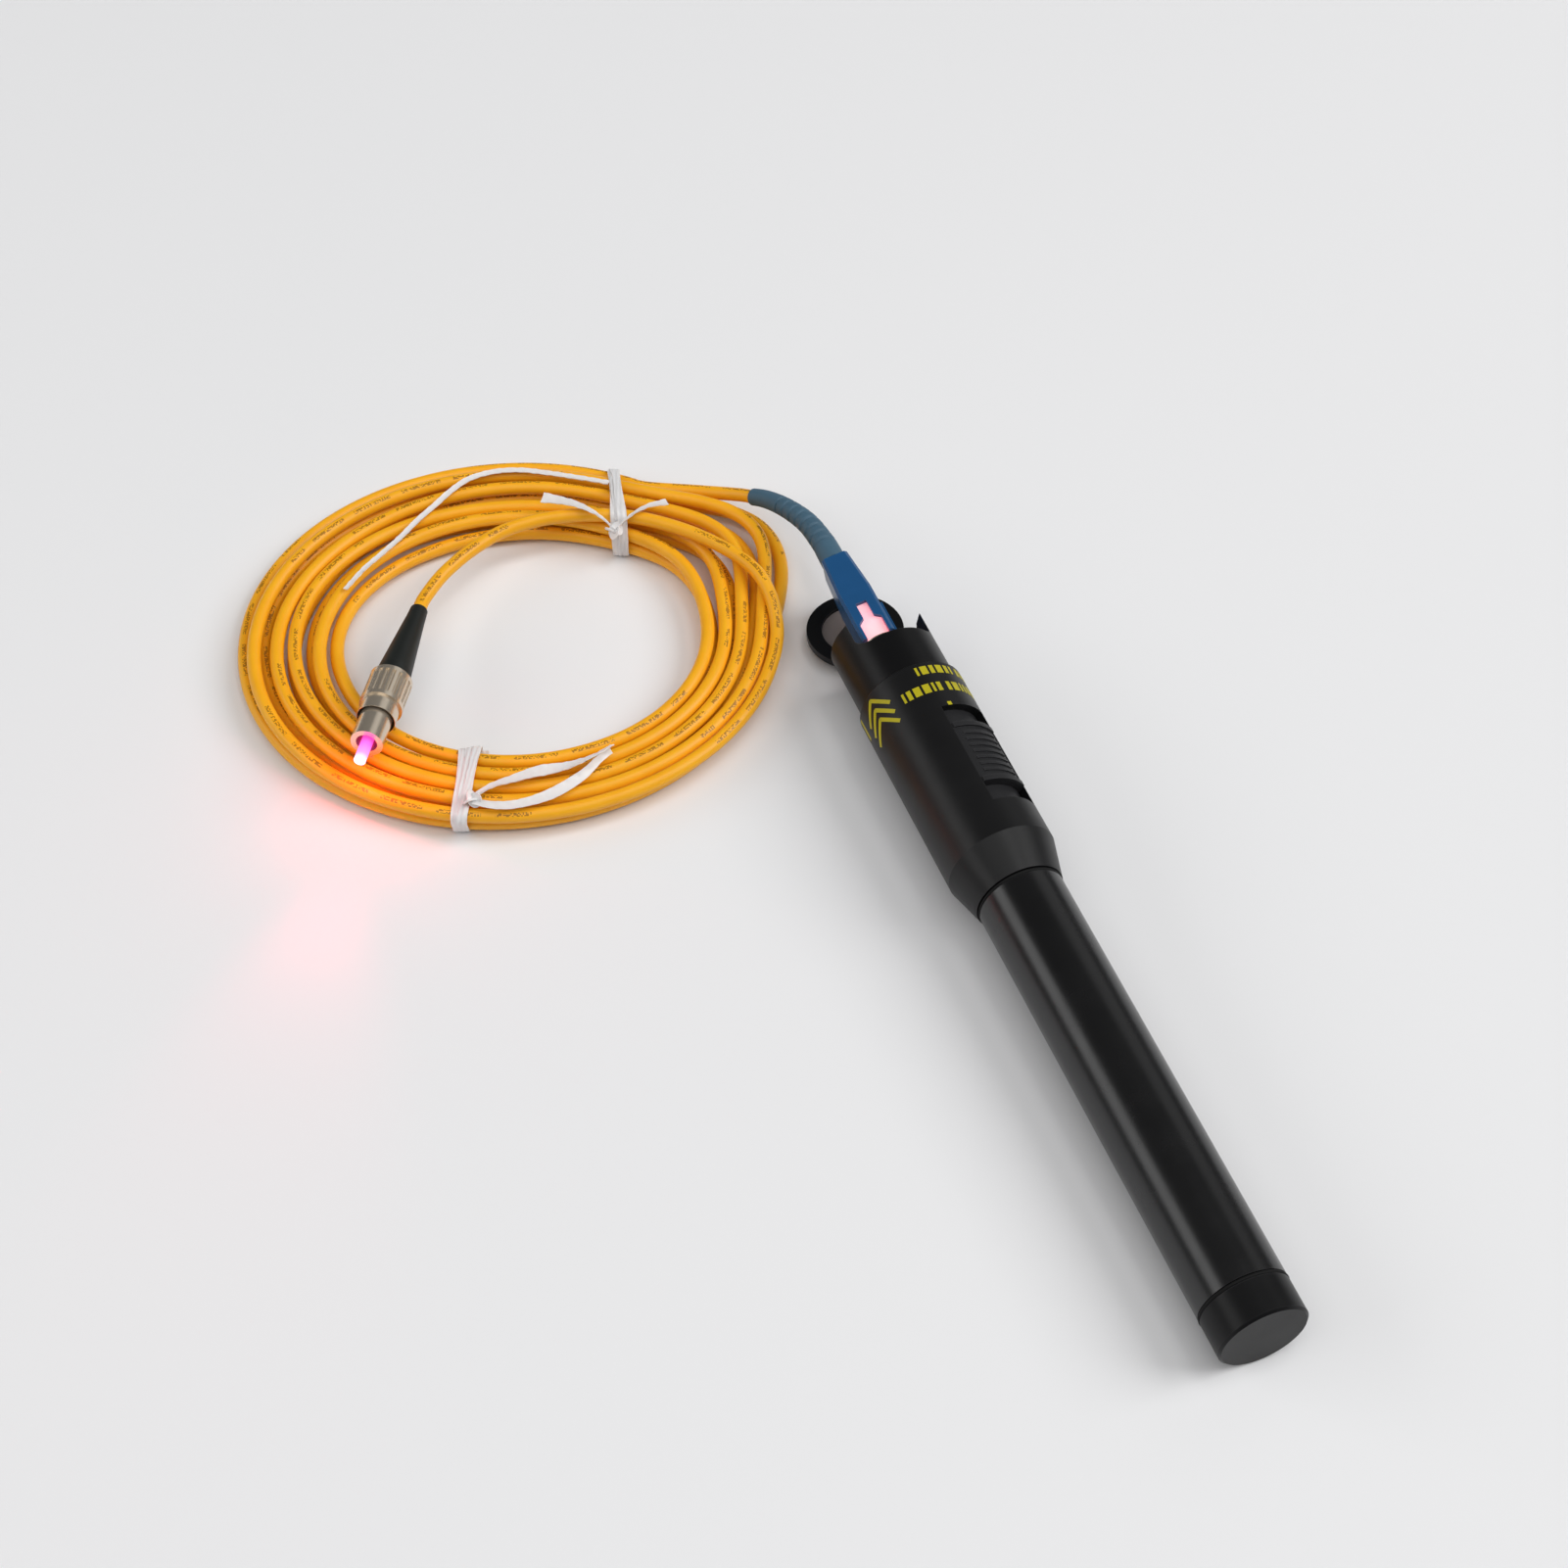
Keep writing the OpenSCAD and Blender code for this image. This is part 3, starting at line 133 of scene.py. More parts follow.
def level_turn(angle):
    """The matrix that turns rows of points about the vertical."""
    c, s = np.cos(angle), np.sin(angle)
    return np.array([[c, s, 0], [-s, c, 0], [0, 0, 1]])


def on_coil(points):
    """Points on the coil's own axes, in millimetres, turned and moved to where the coil lies."""
    return np.asarray(points, float) * MM @ level_turn(COIL_TURN) + COIL_AT


def ramp(value, start, length):
    """The share of the way from start, over the length, that value has come: 0 before it and 1 past it."""
    return np.clip((value - start) / length, 0, 1)


def coil_point(swept):
    """The coil's centreline: an oval whose half widths shrink a lane each turn, then grow again a layer up.

    Inside the outermost turn it wanders to and fro within the room between lanes, and where the lanes spread
    the upper layer slips inwards by half a lane, little by little over two turns. Under the bend boot the
    turns bulge by exp(-(angle from the middle / width)^2), the outer ones most.
    """
    swept = np.asarray(swept, float)
    past = swept - COIL_SWEEP / 2
    angle = np.radians(COIL_START + swept)
    lane = np.where(past < 0, swept, COIL_SWEEP - swept) / 360
    layer = ramp(past, -LAYER_CHANGE / 2, LAYER_CHANGE)
    grown = ramp(lane, 0, GROWN_LANES)
    pitch = LANE_TIGHT + LANE_SPREAD * (1 - np.cos(angle + np.radians(SPREAD_TURN))) / 2
    room = (pitch - CORD_D - LANE_GAP) / 2 * grown * ramp(np.abs(past), CALM_HALF, CALM_FADE)
    sway = sum(size * np.sin(waves * np.radians(swept) + phase) for size, waves, phase in SWAYS)
    slipped = ramp(past, SLIP_FROM, SLIP_GROWS) * ramp(COIL_SWEEP - swept, 0, SLIP_ENDS)
    slip = slipped * UPPER_SLIP * ((pitch - LANE_TIGHT) / LANE_SPREAD) ** 2
    off = (COIL_START + swept - BULGE_AT + 180) % 360 - 180
    wide = np.where(off < 0, BULGE_BEFORE - layer * BULGE_UPPER_LESS, BULGE_AFTER)
    rank = grown * np.clip(BULGE_FIRST - BULGE_LOSS * lane, 0, 1)
    bulge = (BULGE - layer * BULGE_UPPER_LOWER) * rank * np.exp(-(off / wide) ** 2)
    inward = lane * pitch + room * sway + slip - bulge
    x = (COIL_HALF[0] - inward) * np.cos(angle)
    y = (COIL_HALF[1] - inward) * np.sin(angle)
    z = COIL_LIFT + CORD_D / 2 + layer * LAYER_RISE
    return on_coil(np.stack([x, y, z], -1) / MM)


def distance(points):
    """The distance walked along points, from zero."""
    return np.concatenate([[0.0], np.cumsum(np.linalg.norm(np.diff(points, axis=0), axis=1))])


def at_even_steps(points, steps):
    """The same line through points, from end to end, in so many even steps."""
    walked = distance(points)
    even = np.linspace(0, walked[-1], steps + 1)
    return np.stack([np.interp(even, walked, column) for column in points.T], -1)


def through(points, spacing):
    """A smooth curve through points at even steps, each span a cubic with its slopes from the neighbours."""
    p = np.asarray(points, float)
    p = np.concatenate([2 * p[:1] - p[1:2], p, 2 * p[-1:] - p[-2:-1]])
    gaps = np.sqrt(np.linalg.norm(np.diff(p, axis=0), axis=1))[:, None, None]
    p0, p1, p2, p3 = (p[k:len(p) - 3 + k, None, :] for k in range(4))
    g0, g1, g2 = gaps[:-2], gaps[1:-1], gaps[2:]
    m1 = (p1 - p0) / g0 - (p2 - p0) / (g0 + g1) + (p2 - p1) / g1
    m2 = (p2 - p1) / g1 - (p3 - p1) / (g1 + g2) + (p3 - p2) / g2
    t = np.linspace(0, 1, SPAN_STEPS, endpoint=False)[None, :, None]
    curve = ((2 * t**3 - 3 * t**2 + 1) * p1 + (t**3 - 2 * t**2 + t) * g1 * m1
             + (3 * t**2 - 2 * t**3) * p2 + (t**3 - t**2) * g1 * m2)
    curve = np.concatenate([curve.reshape(-1, 3), p[-2:-1]])
    return at_even_steps(curve, int(round(distance(curve)[-1] / spacing)))


def unit(vectors):
    """Vectors at length one."""
    return vectors / np.linalg.norm(vectors, axis=-1, keepdims=True)


def frames(path):
    """Along a path: its direction, a level side and the upward normal square to both."""
    ahead = unit(np.gradient(path, axis=0))
    side = unit(np.cross([0.0, 0.0, 1.0], ahead))
    return ahead, side, np.cross(ahead, side)


# Surfaces. A ribbon's creases are sines as (share, waves a metre, how often the phase counts, slant across)
STRIP_POINTS = 7
CREASES = [(1.0, 2300, 1, 1.4), (0.7, 3900, 2, -2.1)]


def tube(path, radius, sides):
    """Rings round a path: path + radius (cos v side + sin v up), with v once round.

    Radius may be one value or one for each point of the path.
    """
    _, side, up = frames(path)
    v = np.linspace(0, 2 * np.pi, sides, endpoint=False)[None, :, None]
    radius = np.broadcast_to(radius, len(path))[:, None, None]
    return path[:, None] + radius * (np.cos(v) * side[:, None] + np.sin(v) * up[:, None])


def film(row, normal, lift, thick):
    """Rings of a film over rows of points: its top from side to side, then its underside back."""
    top, low = (row + (lift + half)[..., None] * normal[:, None] for half in (thick / 2, -thick / 2))
    return np.concatenate([top, low[:, ::-1]], axis=1)


def strip(path, width, thick, twist=0.0, curl=0.0, crinkle=0.0, phase=0.0):
    """Rings of a thin ribbon: width across, turned by twist about the path, its edges lifted by curl.

    Its middle waves by crinkle times the creases, which are sines of the distance walked.
    """
    ahead, side, up = frames(path)
    walked = distance(path)[:, None]
    twist = np.broadcast_to(twist, len(path))[:, None]
    across = np.cos(twist) * side + np.sin(twist) * up
    width = np.broadcast_to(width, len(path))[:, None]
    x = np.linspace(-1, 1, STRIP_POINTS)[None, :]
    wave = sum(size * np.sin(walked * waves + count * phase + slant * x)
               for size, waves, count, slant in CREASES)
    row = path[:, None] + (width * x / 2)[..., None] * across[:, None]
    return film(row, np.cross(ahead, across), curl * x**2 + crinkle * wave, thick)


def faces_of(count, sides, first):
    """Quads between neighbouring rings, and one face over each end ring, with vertices counted from first."""
    i, k = np.meshgrid(np.arange(count - 1), np.arange(sides), indexing="ij")
    a, b = i * sides + k, i * sides + (k + 1) % sides
    quads = (first + np.stack([a, b, b + sides, a + sides], -1).reshape(-1, 4)).tolist()
    ring = np.arange(sides)
    return quads + [(first + ring[::-1]).tolist(), (first + (count - 1) * sides + ring).tolist()]


def signed_volume(rings):
    """Six times the volume between the rings, which is negative where their faces point inwards."""
    q = rings - rings.mean((0, 1))
    nxt = np.roll(q, -1, axis=1)
    a, b, c, d = q[:-1], nxt[:-1], nxt[1:], q[1:]
    return np.einsum("ijk,ijk->", a, np.cross(b, c)) + np.einsum("ijk,ijk->", a, np.cross(c, d))


def piece(name, parts, material, body, sharp=50):
    """One object from lists of rings, each closed at both ends.

    Its UV map is the distance along and the share round. Edges turn sharp from so many degrees.
    """
    points, faces, texture = [], [], []
    first = 0
    for rings in parts:
        rings = rings[:, ::-1] if signed_volume(rings) < 0 else rings
        count, sides = rings.shape[:2]
        points.append(rings.reshape(-1, 3))
        faces += faces_of(count, sides, first)
        walked = distance(rings.mean(1))
        i, k = np.meshgrid(np.arange(count - 1), np.arange(sides), indexing="ij")
        u = np.stack([walked[i], walked[i], walked[i + 1], walked[i + 1]], -1)
        v = np.stack([k, k + 1, k + 1, k], -1) / sides
        ends = np.zeros((2 * sides, 2))
        texture.append(np.concatenate([np.stack([u, v], -1).reshape(-1, 2), ends]))
        first += count * sides
    mesh = bpy.data.meshes.new(name)
    mesh.from_pydata(np.concatenate(points).tolist(), [], faces)
    uv = mesh.uv_layers.new(name="along_round")
    uv.data.foreach_set("uv", np.concatenate(texture).astype(np.float32).ravel())
    mesh.polygons.foreach_set("use_smooth", np.ones(len(mesh.polygons), bool))
    mesh.set_sharp_from_angle(angle=np.radians(sharp))
    mesh.materials.append(material)
    mesh.update()
    made = bpy.data.objects.new(name, mesh)
    bpy.context.scene.collection.objects.link(made)
    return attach(made, body)


# Shader nodes, and the groups that are each built once
BROAD_WAVES = 140.0
GRAIN_DETAIL = 3.0
# The edge mask, partly wear and partly painted highlight: its bevel radius, noise waves and gain
WEAR_AND_HIGHLIGHT_RADIUS = 0.3 * MM
WEAR_AND_HIGHLIGHT_WAVES = 900.0
WEAR_AND_HIGHLIGHT_GAIN = 7.0
BEVEL_SAMPLES = 4


def new_group(name, inputs, outputs):
    """An empty node group with named sockets. Inputs are (kind, name, value), and outputs (kind, name)."""
    group = bpy.data.node_groups.new(name, "ShaderNodeTree")
    for kind, label, value in inputs:
        socket = group.interface.new_socket(label, in_out="INPUT", socket_type="NodeSocket" + kind)
        if value is not None:
            socket.default_value = value
    for kind, label in outputs:
        group.interface.new_socket(label, in_out="OUTPUT", socket_type="NodeSocket" + kind)
    return group, group.nodes.new("NodeGroupInput"), group.nodes.new("NodeGroupOutput")


def feed(tree, slot, value):
    """Links a socket to the slot, or sets the value that it gets."""
    if isinstance(value, bpy.types.NodeSocket):
        tree.links.new(value, slot)
    else:
        slot.default_value = value


def calculate(tree, operation, *given, clamp=False):
    """A Math node, whose inputs are sockets or numbers."""
    node = tree.nodes.new("ShaderNodeMath")
    node.operation = operation
    node.use_clamp = clamp
    for slot, value in zip(node.inputs, given):
        feed(tree, slot, value)
    return node.outputs[0]


def times(tree, first, *others):
    """The product of sockets and numbers."""
    for other in others:
        first = calculate(tree, "MULTIPLY", first, other)
    return first


def vector_math(tree, operation, a, b):
    """The outputs of a Vector Math node, whose inputs are sockets or vectors."""
    node = tree.nodes.new("ShaderNodeVectorMath")
    node.operation = operation
    feed(tree, node.inputs[0], a)
    feed(tree, node.inputs[1], b)
    return node.outputs


def noise(tree, vector, scale):
    """A noise node, between 0 and 1 at so many waves a metre."""
    node = tree.nodes.new("ShaderNodeTexNoise")
    feed(tree, node.inputs["Vector"], vector)
    feed(tree, node.inputs["Scale"], scale)
    return node


def blend_colour(tree, share, a, b):
    """A mix of two colours by a share."""
    node = tree.nodes.new("ShaderNodeMix")
    node.data_type = "RGBA"
    feed(tree, node.inputs[0], share)
    feed(tree, node.inputs[6], a)
    feed(tree, node.inputs[7], b)
    return node.outputs[2]


def build_grain():
    """Grain: a fine noise for height, and a broad one that shifts the roughness where hands have been."""
    group, given, put = new_group("grain", [
        ("Vector", "Vector", None), ("Float", "Scale", 4000.0), ("Float", "Roughness", 0.4),
        ("Float", "Spread", 0.1),
    ], [("Float", "Height"), ("Float", "Roughness"), ("Float", "Broad")])
    fine = noise(group, given.outputs["Vector"], given.outputs["Scale"])
    broad = noise(group, given.outputs["Vector"], BROAD_WAVES)
    for node in (fine, broad):
        node.inputs["Detail"].default_value = GRAIN_DETAIL
    shift = times(group, calculate(group, "SUBTRACT", broad.outputs["Fac"], 0.5), given.outputs["Spread"])
    feed(group, put.inputs["Height"], fine.outputs["Fac"])
    feed(group, put.inputs["Roughness"], calculate(group, "ADD", shift, given.outputs["Roughness"]))
    feed(group, put.inputs["Broad"], broad.outputs["Fac"])
    return group


def build_edge_wear_and_highlight():
    """Edge wear and painted highlight: a mask of edges, where a rounded edge's normal leaves the true one, broken
    by noise.
    """
    group, given, put = new_group("edge_wear_and_highlight", [
        ("Vector", "Vector", None), ("Float", "Radius", WEAR_AND_HIGHLIGHT_RADIUS), ("Float", "Amount", 0.5),
    ], [("Float", "Mask")])
    bevel = group.nodes.new("ShaderNodeBevel")
    bevel.samples = BEVEL_SAMPLES
    feed(group, bevel.inputs["Radius"], given.outputs["Radius"])
    true = group.nodes.new("ShaderNodeNewGeometry").outputs["Normal"]
    close = vector_math(group, "DOT_PRODUCT", bevel.outputs[0], true)["Value"]
    lost = calculate(group, "SUBTRACT", 1.0, close)
    patches = noise(group, given.outputs["Vector"], WEAR_AND_HIGHLIGHT_WAVES)
    patchy = times(group, patches.outputs["Fac"], given.outputs["Amount"])
    mask = calculate(group, "MULTIPLY", times(group, lost, WEAR_AND_HIGHLIGHT_GAIN), patchy, clamp=True)
    feed(group, put.inputs["Mask"], mask)
    return group


GRAIN = build_grain()
EDGE_WEAR_AND_HIGHLIGHT = build_edge_wear_and_highlight()


# Materials
COAT_ROUGHNESS = 0.08
HANDLED = 0.1
BUMP_DISTANCE = 0.05 * MM


def linear(colour):
    """A colour written as screen values from 0 to 255, as the linear colour that the shader wants."""
    c = np.array(colour, float) / 255
    return (*np.where(c <= 0.04045, c / 12.92, ((c + 0.055) / 1.055) ** 2.4).tolist(), 1.0)


def add_group(tree, group, **values):
    """Places a group in a material with its own values."""
    node = tree.nodes.new("ShaderNodeGroup")
    node.node_tree = group
    for label, value in values.items():
        feed(tree, node.inputs[label], value)
    return node


def new_material(name):
    """A material with its Principled shader and the object's coordinates."""
    made = bpy.data.materials.new(name)
    made.use_nodes = True
    tree = made.node_tree
    shader = tree.nodes["Principled BSDF"]
    place = tree.nodes.new("ShaderNodeTexCoord").outputs["Object"]
    return made, tree, shader, place


def add_bump(tree, shader, height, strength):
    """Fine relief on a material's normal."""
    bump = tree.nodes.new("ShaderNodeBump")
    bump.inputs["Strength"].default_value = strength
    bump.inputs["Distance"].default_value = BUMP_DISTANCE
    feed(tree, bump.inputs["Height"], height)
    feed(tree, shader.inputs["Normal"], bump.outputs[0])


def scatter(shader, weight, radii):
    """Light that passes under a surface, by its radii in millimetres for red, green and blue."""
    shader.inputs["Subsurface Weight"].default_value = weight
    shader.inputs["Subsurface Radius"].default_value = [radius * MM for radius in radii]
    shader.inputs["Subsurface Scale"].default_value = 1.0


def finish(name, colour, wear_and_highlight_colour, roughness, metallic=0.0, specular=0.5, coat=0.0, scale=4000.0, bump=0.15,
           wear_and_highlight=0.4, shade=0.1):
    """The common finish: a colour that varies a little, pale edges that are partly wear and partly painted
    highlight, grain and handled roughness.
    """
    made, tree, shader, place = new_material(name)
    grain = add_group(tree, GRAIN, Vector=place, Scale=scale, Roughness=roughness, Spread=HANDLED)
    edge = add_group(tree, EDGE_WEAR_AND_HIGHLIGHT, Vector=place, Amount=wear_and_highlight)
    base, dark = linear(colour), linear(np.array(colour) * (1 - shade))
    toned = blend_colour(tree, grain.outputs["Broad"], dark, base)
    # The edges turn paler: partly wear, partly a painted highlight
    feed(tree, shader.inputs["Base Color"], blend_colour(tree, edge.outputs["Mask"], toned, linear(wear_and_highlight_colour)))
    feed(tree, shader.inputs["Roughness"], grain.outputs["Roughness"])
    shader.inputs["Metallic"].default_value = metallic
    shader.inputs["Specular IOR Level"].default_value = specular
    shader.inputs["Coat Weight"].default_value = coat
    shader.inputs["Coat Roughness"].default_value = COAT_ROUGHNESS
    add_bump(tree, shader, grain.outputs["Height"], bump)
    return made, tree, shader, place


def glow_along(material, at, along, near, far, colours, strength):
    """A finish with a painted glow, given off by its station along an axis, from near to far.

    Colours are (share of the way, colour). Returns the material.
    """
    made, tree, shader, place = material
    offset = vector_math(tree, "SUBTRACT", place, at)[0]
    station = vector_math(tree, "DOT_PRODUCT", offset, along)["Value"]
    share = calculate(tree, "DIVIDE", calculate(tree, "SUBTRACT", station, near), far - near, clamp=True)
    fade = tree.nodes.new("ShaderNodeValToRGB")
    while len(fade.color_ramp.elements) < len(colours):
        fade.color_ramp.elements.new(0.5)
    for element, (where, colour) in zip(fade.color_ramp.elements, colours):
        element.position = where
        element.color = linear(colour)
    feed(tree, fade.inputs[0], share)
    feed(tree, shader.inputs["Emission Color"], fade.outputs["Color"])
    shader.inputs["Emission Strength"].default_value = strength
    return made


# Marks on the cord: where round it they run and how they drift, then blocks and words as (waves a metre,
# share of each), the cells of their pattern along and round, the share left blank, and how dark they are
MARK_ROUND = 0.27
MARK_HALF = 0.045
DRIFT_WAVES = 23.0
DRIFT = 0.07
BLOCKS = (9.0, 0.62)
WORDS = (83.0, 0.76)
CELLS_ALONG = 3300.0
CELLS_ROUND = 34.0
CELLS_BLANK = 0.42
INK = 0.62


def jacket_material():
    """The cord's jacket: orange-yellow PVC with a soft sheen, and tiny dark marks printed along it."""
    made, tree, shader, place = new_material("yellow_jacket")
    uv = tree.nodes.new("ShaderNodeUVMap")
    uv.uv_map = "along_round"
    split = tree.nodes.new("ShaderNodeSeparateXYZ")
    feed(tree, split.inputs[0], uv.outputs[0])
    u, v = split.outputs[0], split.outputs[1]
    drift = times(tree, calculate(tree, "SINE", times(tree, u, DRIFT_WAVES)), DRIFT)
    off = calculate(tree, "SUBTRACT", calculate(tree, "SUBTRACT", v, MARK_ROUND), drift)
    marks = [calculate(tree, "LESS_THAN", calculate(tree, "ABSOLUTE", off), MARK_HALF)]
    for waves, share in (BLOCKS, WORDS):
        marks.append(calculate(tree, "LESS_THAN", calculate(tree, "FRACT", times(tree, u, waves)), share))
    cell = tree.nodes.new("ShaderNodeCombineXYZ")
    for slot, value, cells in zip(cell.inputs, (u, v), (CELLS_ALONG, CELLS_ROUND)):
        feed(tree, slot, calculate(tree, "FLOOR", times(tree, value, cells)))
    dots = tree.nodes.new("ShaderNodeTexWhiteNoise")
    dots.noise_dimensions = "2D"
    feed(tree, dots.inputs["Vector"], cell.outputs[0])
    marks.append(calculate(tree, "GREATER_THAN", dots.outputs["Value"], CELLS_BLANK))
    grain = add_group(tree, GRAIN, Vector=place, Scale=2500.0, Roughness=0.42, Spread=0.12)
    toned = blend_colour(tree, grain.outputs["Broad"], linear((243, 168, 16)), linear((254, 184, 30)))
    inked = blend_colour(tree, times(tree, *marks, INK), toned, linear((92, 46, 8)))
    feed(tree, shader.inputs["Base Color"], inked)
    feed(tree, shader.inputs["Roughness"], grain.outputs["Roughness"])
    shader.inputs["Specular IOR Level"].default_value = 0.4
    scatter(shader, 0.12, (0.9, 0.4, 0.1))
    add_bump(tree, shader, grain.outputs["Height"], 0.1)
    return made


def tie_material():
    """The ties: thin milky film that lets some light through, with faint creases."""
    made, _, shader, _ = finish("tie_white", (253, 250, 249), (255, 254, 253), 0.38, scale=1300.0, bump=0.3,
                                wear_and_highlight=0.2, shade=0.06)
    shader.inputs["Transmission Weight"].default_value = 0.1
    scatter(shader, 0.2, (1, 0.8, 0.7))
    return made


def lens_material():
    """The focusing lens: clear glass."""
    made, tree, shader, place = new_material("lens")
    grain = add_group(tree, GRAIN, Vector=place, Scale=900.0, Roughness=0.03, Spread=0.02)
    feed(tree, shader.inputs["Roughness"], grain.outputs["Roughness"])
    shader.inputs["Base Color"].default_value = linear((225, 238, 244))
    shader.inputs["Transmission Weight"].default_value = 1.0
    shader.inputs["IOR"].default_value = 1.52
    return made


# Finishes by name: the colour, the colour of the pale edges, partly wear and partly painted highlight, the
# roughness, and what else differs
FINISHES = {
    "black_plastic": ((17, 17, 18), (46, 46, 48), 0.4, dict(specular=0.28, wear_and_highlight=0.3)),
    "black_metal": ((16, 16, 17), (60, 60, 62), 0.36, dict(specular=0.18, wear_and_highlight=0.5)),
    "tube_black": ((14, 14, 15), (50, 50, 52), 0.26, dict(wear_and_highlight=0.35)),
    "seal_black": ((14, 14, 14), (30, 30, 30), 0.7, dict(specular=0.2, wear_and_highlight=0.1)),
    "button_black": ((30, 30, 32), (72, 72, 74), 0.5, dict(specular=0.3, scale=3000.0, bump=0.3)),
    "steel": ((168, 166, 162), (210, 208, 204), 0.3, dict(metallic=1.0, wear_and_highlight=0.3)),
    "nickel": ((228, 214, 194), (244, 238, 226), 0.25,
               dict(metallic=0.85, scale=6000.0, bump=0.02, wear_and_highlight=0.12, shade=0.04)),
    "zirconia": ((244, 238, 230), (250, 248, 244), 0.18, dict(wear_and_highlight=0.1, shade=0.04)),
    "brass": ((200, 162, 92), (226, 196, 130), 0.32, dict(metallic=1.0)),
    "board": ((30, 100, 54), (70, 130, 84), 0.45, dict(wear_and_highlight=0.3)),
    "chips": ((40, 40, 43), (80, 80, 82), 0.5, dict(wear_and_highlight=0.3)),
    "white_plastic": ((238, 236, 232), (250, 249, 247), 0.32, dict(wear_and_highlight=0.1, shade=0.04)),
    "cell": ((40, 92, 150), (150, 160, 170), 0.3, dict(coat=0.3, wear_and_highlight=0.5)),
    "seal_grey": ((126, 116, 112), (168, 158, 152), 0.4, dict(wear_and_highlight=0.3)),
    "blue_plastic": ((30, 84, 134), (70, 124, 168), 0.3, dict(specular=0.4, wear_and_highlight=0.35)),
    "blue_rubber": ((72, 104, 124), (98, 128, 146), 0.55, dict(specular=0.3, scale=2200.0, bump=0.3)),
    "black_rubber": ((24, 28, 26), (54, 58, 56), 0.5, dict(specular=0.35, scale=2600.0, bump=0.25)),
    "print_yellow": ((196, 184, 26), (170, 160, 30), 0.5, dict(specular=0.3, wear_and_highlight=0.2, shade=0.15)),
    # Lit copies of zirconia and white plastic, whose pink tint is painted laser light
    "zirconia_lit": ((150, 96, 140), (170, 120, 160), 0.22, dict(wear_and_highlight=0.1, shade=0.04)),
    "white_plastic_lit": ((240, 236, 236), (250, 248, 248), 0.3, dict(wear_and_highlight=0.1, shade=0.04)),
}
FINISHED = {name: finish(name, *row[:3], **row[3]) for name, row in FINISHES.items()}
MATERIALS = {name: made[0] for name, made in FINISHED.items()}
MATERIALS.update(yellow_jacket=jacket_material(), lens=lens_material(), tie_white=tie_material())

# Two pieces with a painted glow of laser light: the round plug's ferrule, white hot at its tip, and the pale frame
# behind the window, which glows red and fades to black along it
FERRULE_TIP = 46.4 * MM
FERRULE_ROOT = 39.0 * MM
WINDOW_NEAR = 176.0 * MM
WINDOW_FAR = 189.0 * MM
LIT = {
    "fc_ferrule": glow_along(
        FINISHED["zirconia_lit"], PLUG_AT, PLUG_ALONG, FERRULE_ROOT, FERRULE_TIP,
        [(0.0, (200, 30, 130)), (0.45, (250, 90, 220)), (0.8, (255, 150, 250)), (1.0, (255, 250, 255))],
        strength=1.15),
    "sc_frame": glow_along(
        FINISHED["white_plastic_lit"], PEN_AT, PEN_ALONG, WINDOW_NEAR, WINDOW_FAR,
        [(0.0, (255, 70, 100)), (0.35, (255, 90, 130)), (0.7, (190, 40, 70)), (1.0, (10, 0, 2))],
        strength=0.7),
}
for part in frame["record"]["subparts"]:
    node = frame["nodes"][part["node"]]
    node.data.materials.clear()
    node.data.materials.append(LIT.get(part["node"], MATERIALS[part["material_slot"]]))


# Cord: the free stretch behind the boot, the coil, and the stretch across it to the round plug
CORD_STEP = 1.4 * MM
CORD_SIDES = 16
COIL_STEP = 5
CORD_TUCKED = 0.35
CORD_IN_PLUG = 1 * MM


def end_straight(swept, way):
    """The point one cord's diameter past an end of the coil, level, on the line that it leaves along."""
    ends = coil_point([swept, swept + way])
    ahead = (ends[1] - ends[0]) * [1, 1, 0]
    return ends[0] + CORD_D * ahead / np.linalg.norm(ends[1] - ends[0])


def from_mouth(points):
    """Points in millimetres that count from the floor under the rim of the pen's mouth."""
    return np.array(points, float) * MM + MOUTH


boot_route = from_mouth(BOOT_ROUTE)
before_tip, boot_tip = boot_route[-2:-1], boot_route[-1:]
cord_path = through(np.concatenate([
    before_tip * CORD_TUCKED + boot_tip * (1 - CORD_TUCKED), boot_tip,
    boot_tip + CORD_D * unit(boot_tip - before_tip), from_mouth(FREE_ROUTE), [end_straight(0.0, -1)],
    coil_point(np.arange(0, COIL_SWEEP + 1, COIL_STEP)), [end_straight(COIL_SWEEP, 1)],
    on_coil(CROSSING_ROUTE),
    [PLUG_AT - CORD_D * PLUG_ALONG, PLUG_AT, PLUG_AT + CORD_IN_PLUG * PLUG_ALONG],
]), CORD_STEP)
jacket = piece("cord_jacket", [tube(cord_path, CORD_D / 2, CORD_SIDES)], MATERIALS["yellow_jacket"],
               "patch_cord")
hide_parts("cord_sc", "cord_coil", "cord_fc")


# Bend boot of the square plug, with its rings of slots
BOOT_STEP = 3.7 * MM
BOOT_EDGE = 0.05 * MM
BOOT_TUCKED = 2.8 * MM
BOOT_ENDS_STRAIGHT = 2 * MM
BOOT_SIDES = 40
BOOT_PATH_STEP = 0.2 * MM
SLOT_PITCH = 2.6 * MM
SLOT_DEPTH = 0.34 * MM
SLOT_SLOPE = 0.3 * MM
SLOT_HALF = 1.5
SLOTS_FROM = 0.16
SLOTS_TO = 0.72
TIP_ROUND = 0.5 * MM
TIP_INSET = 0.25 * MM


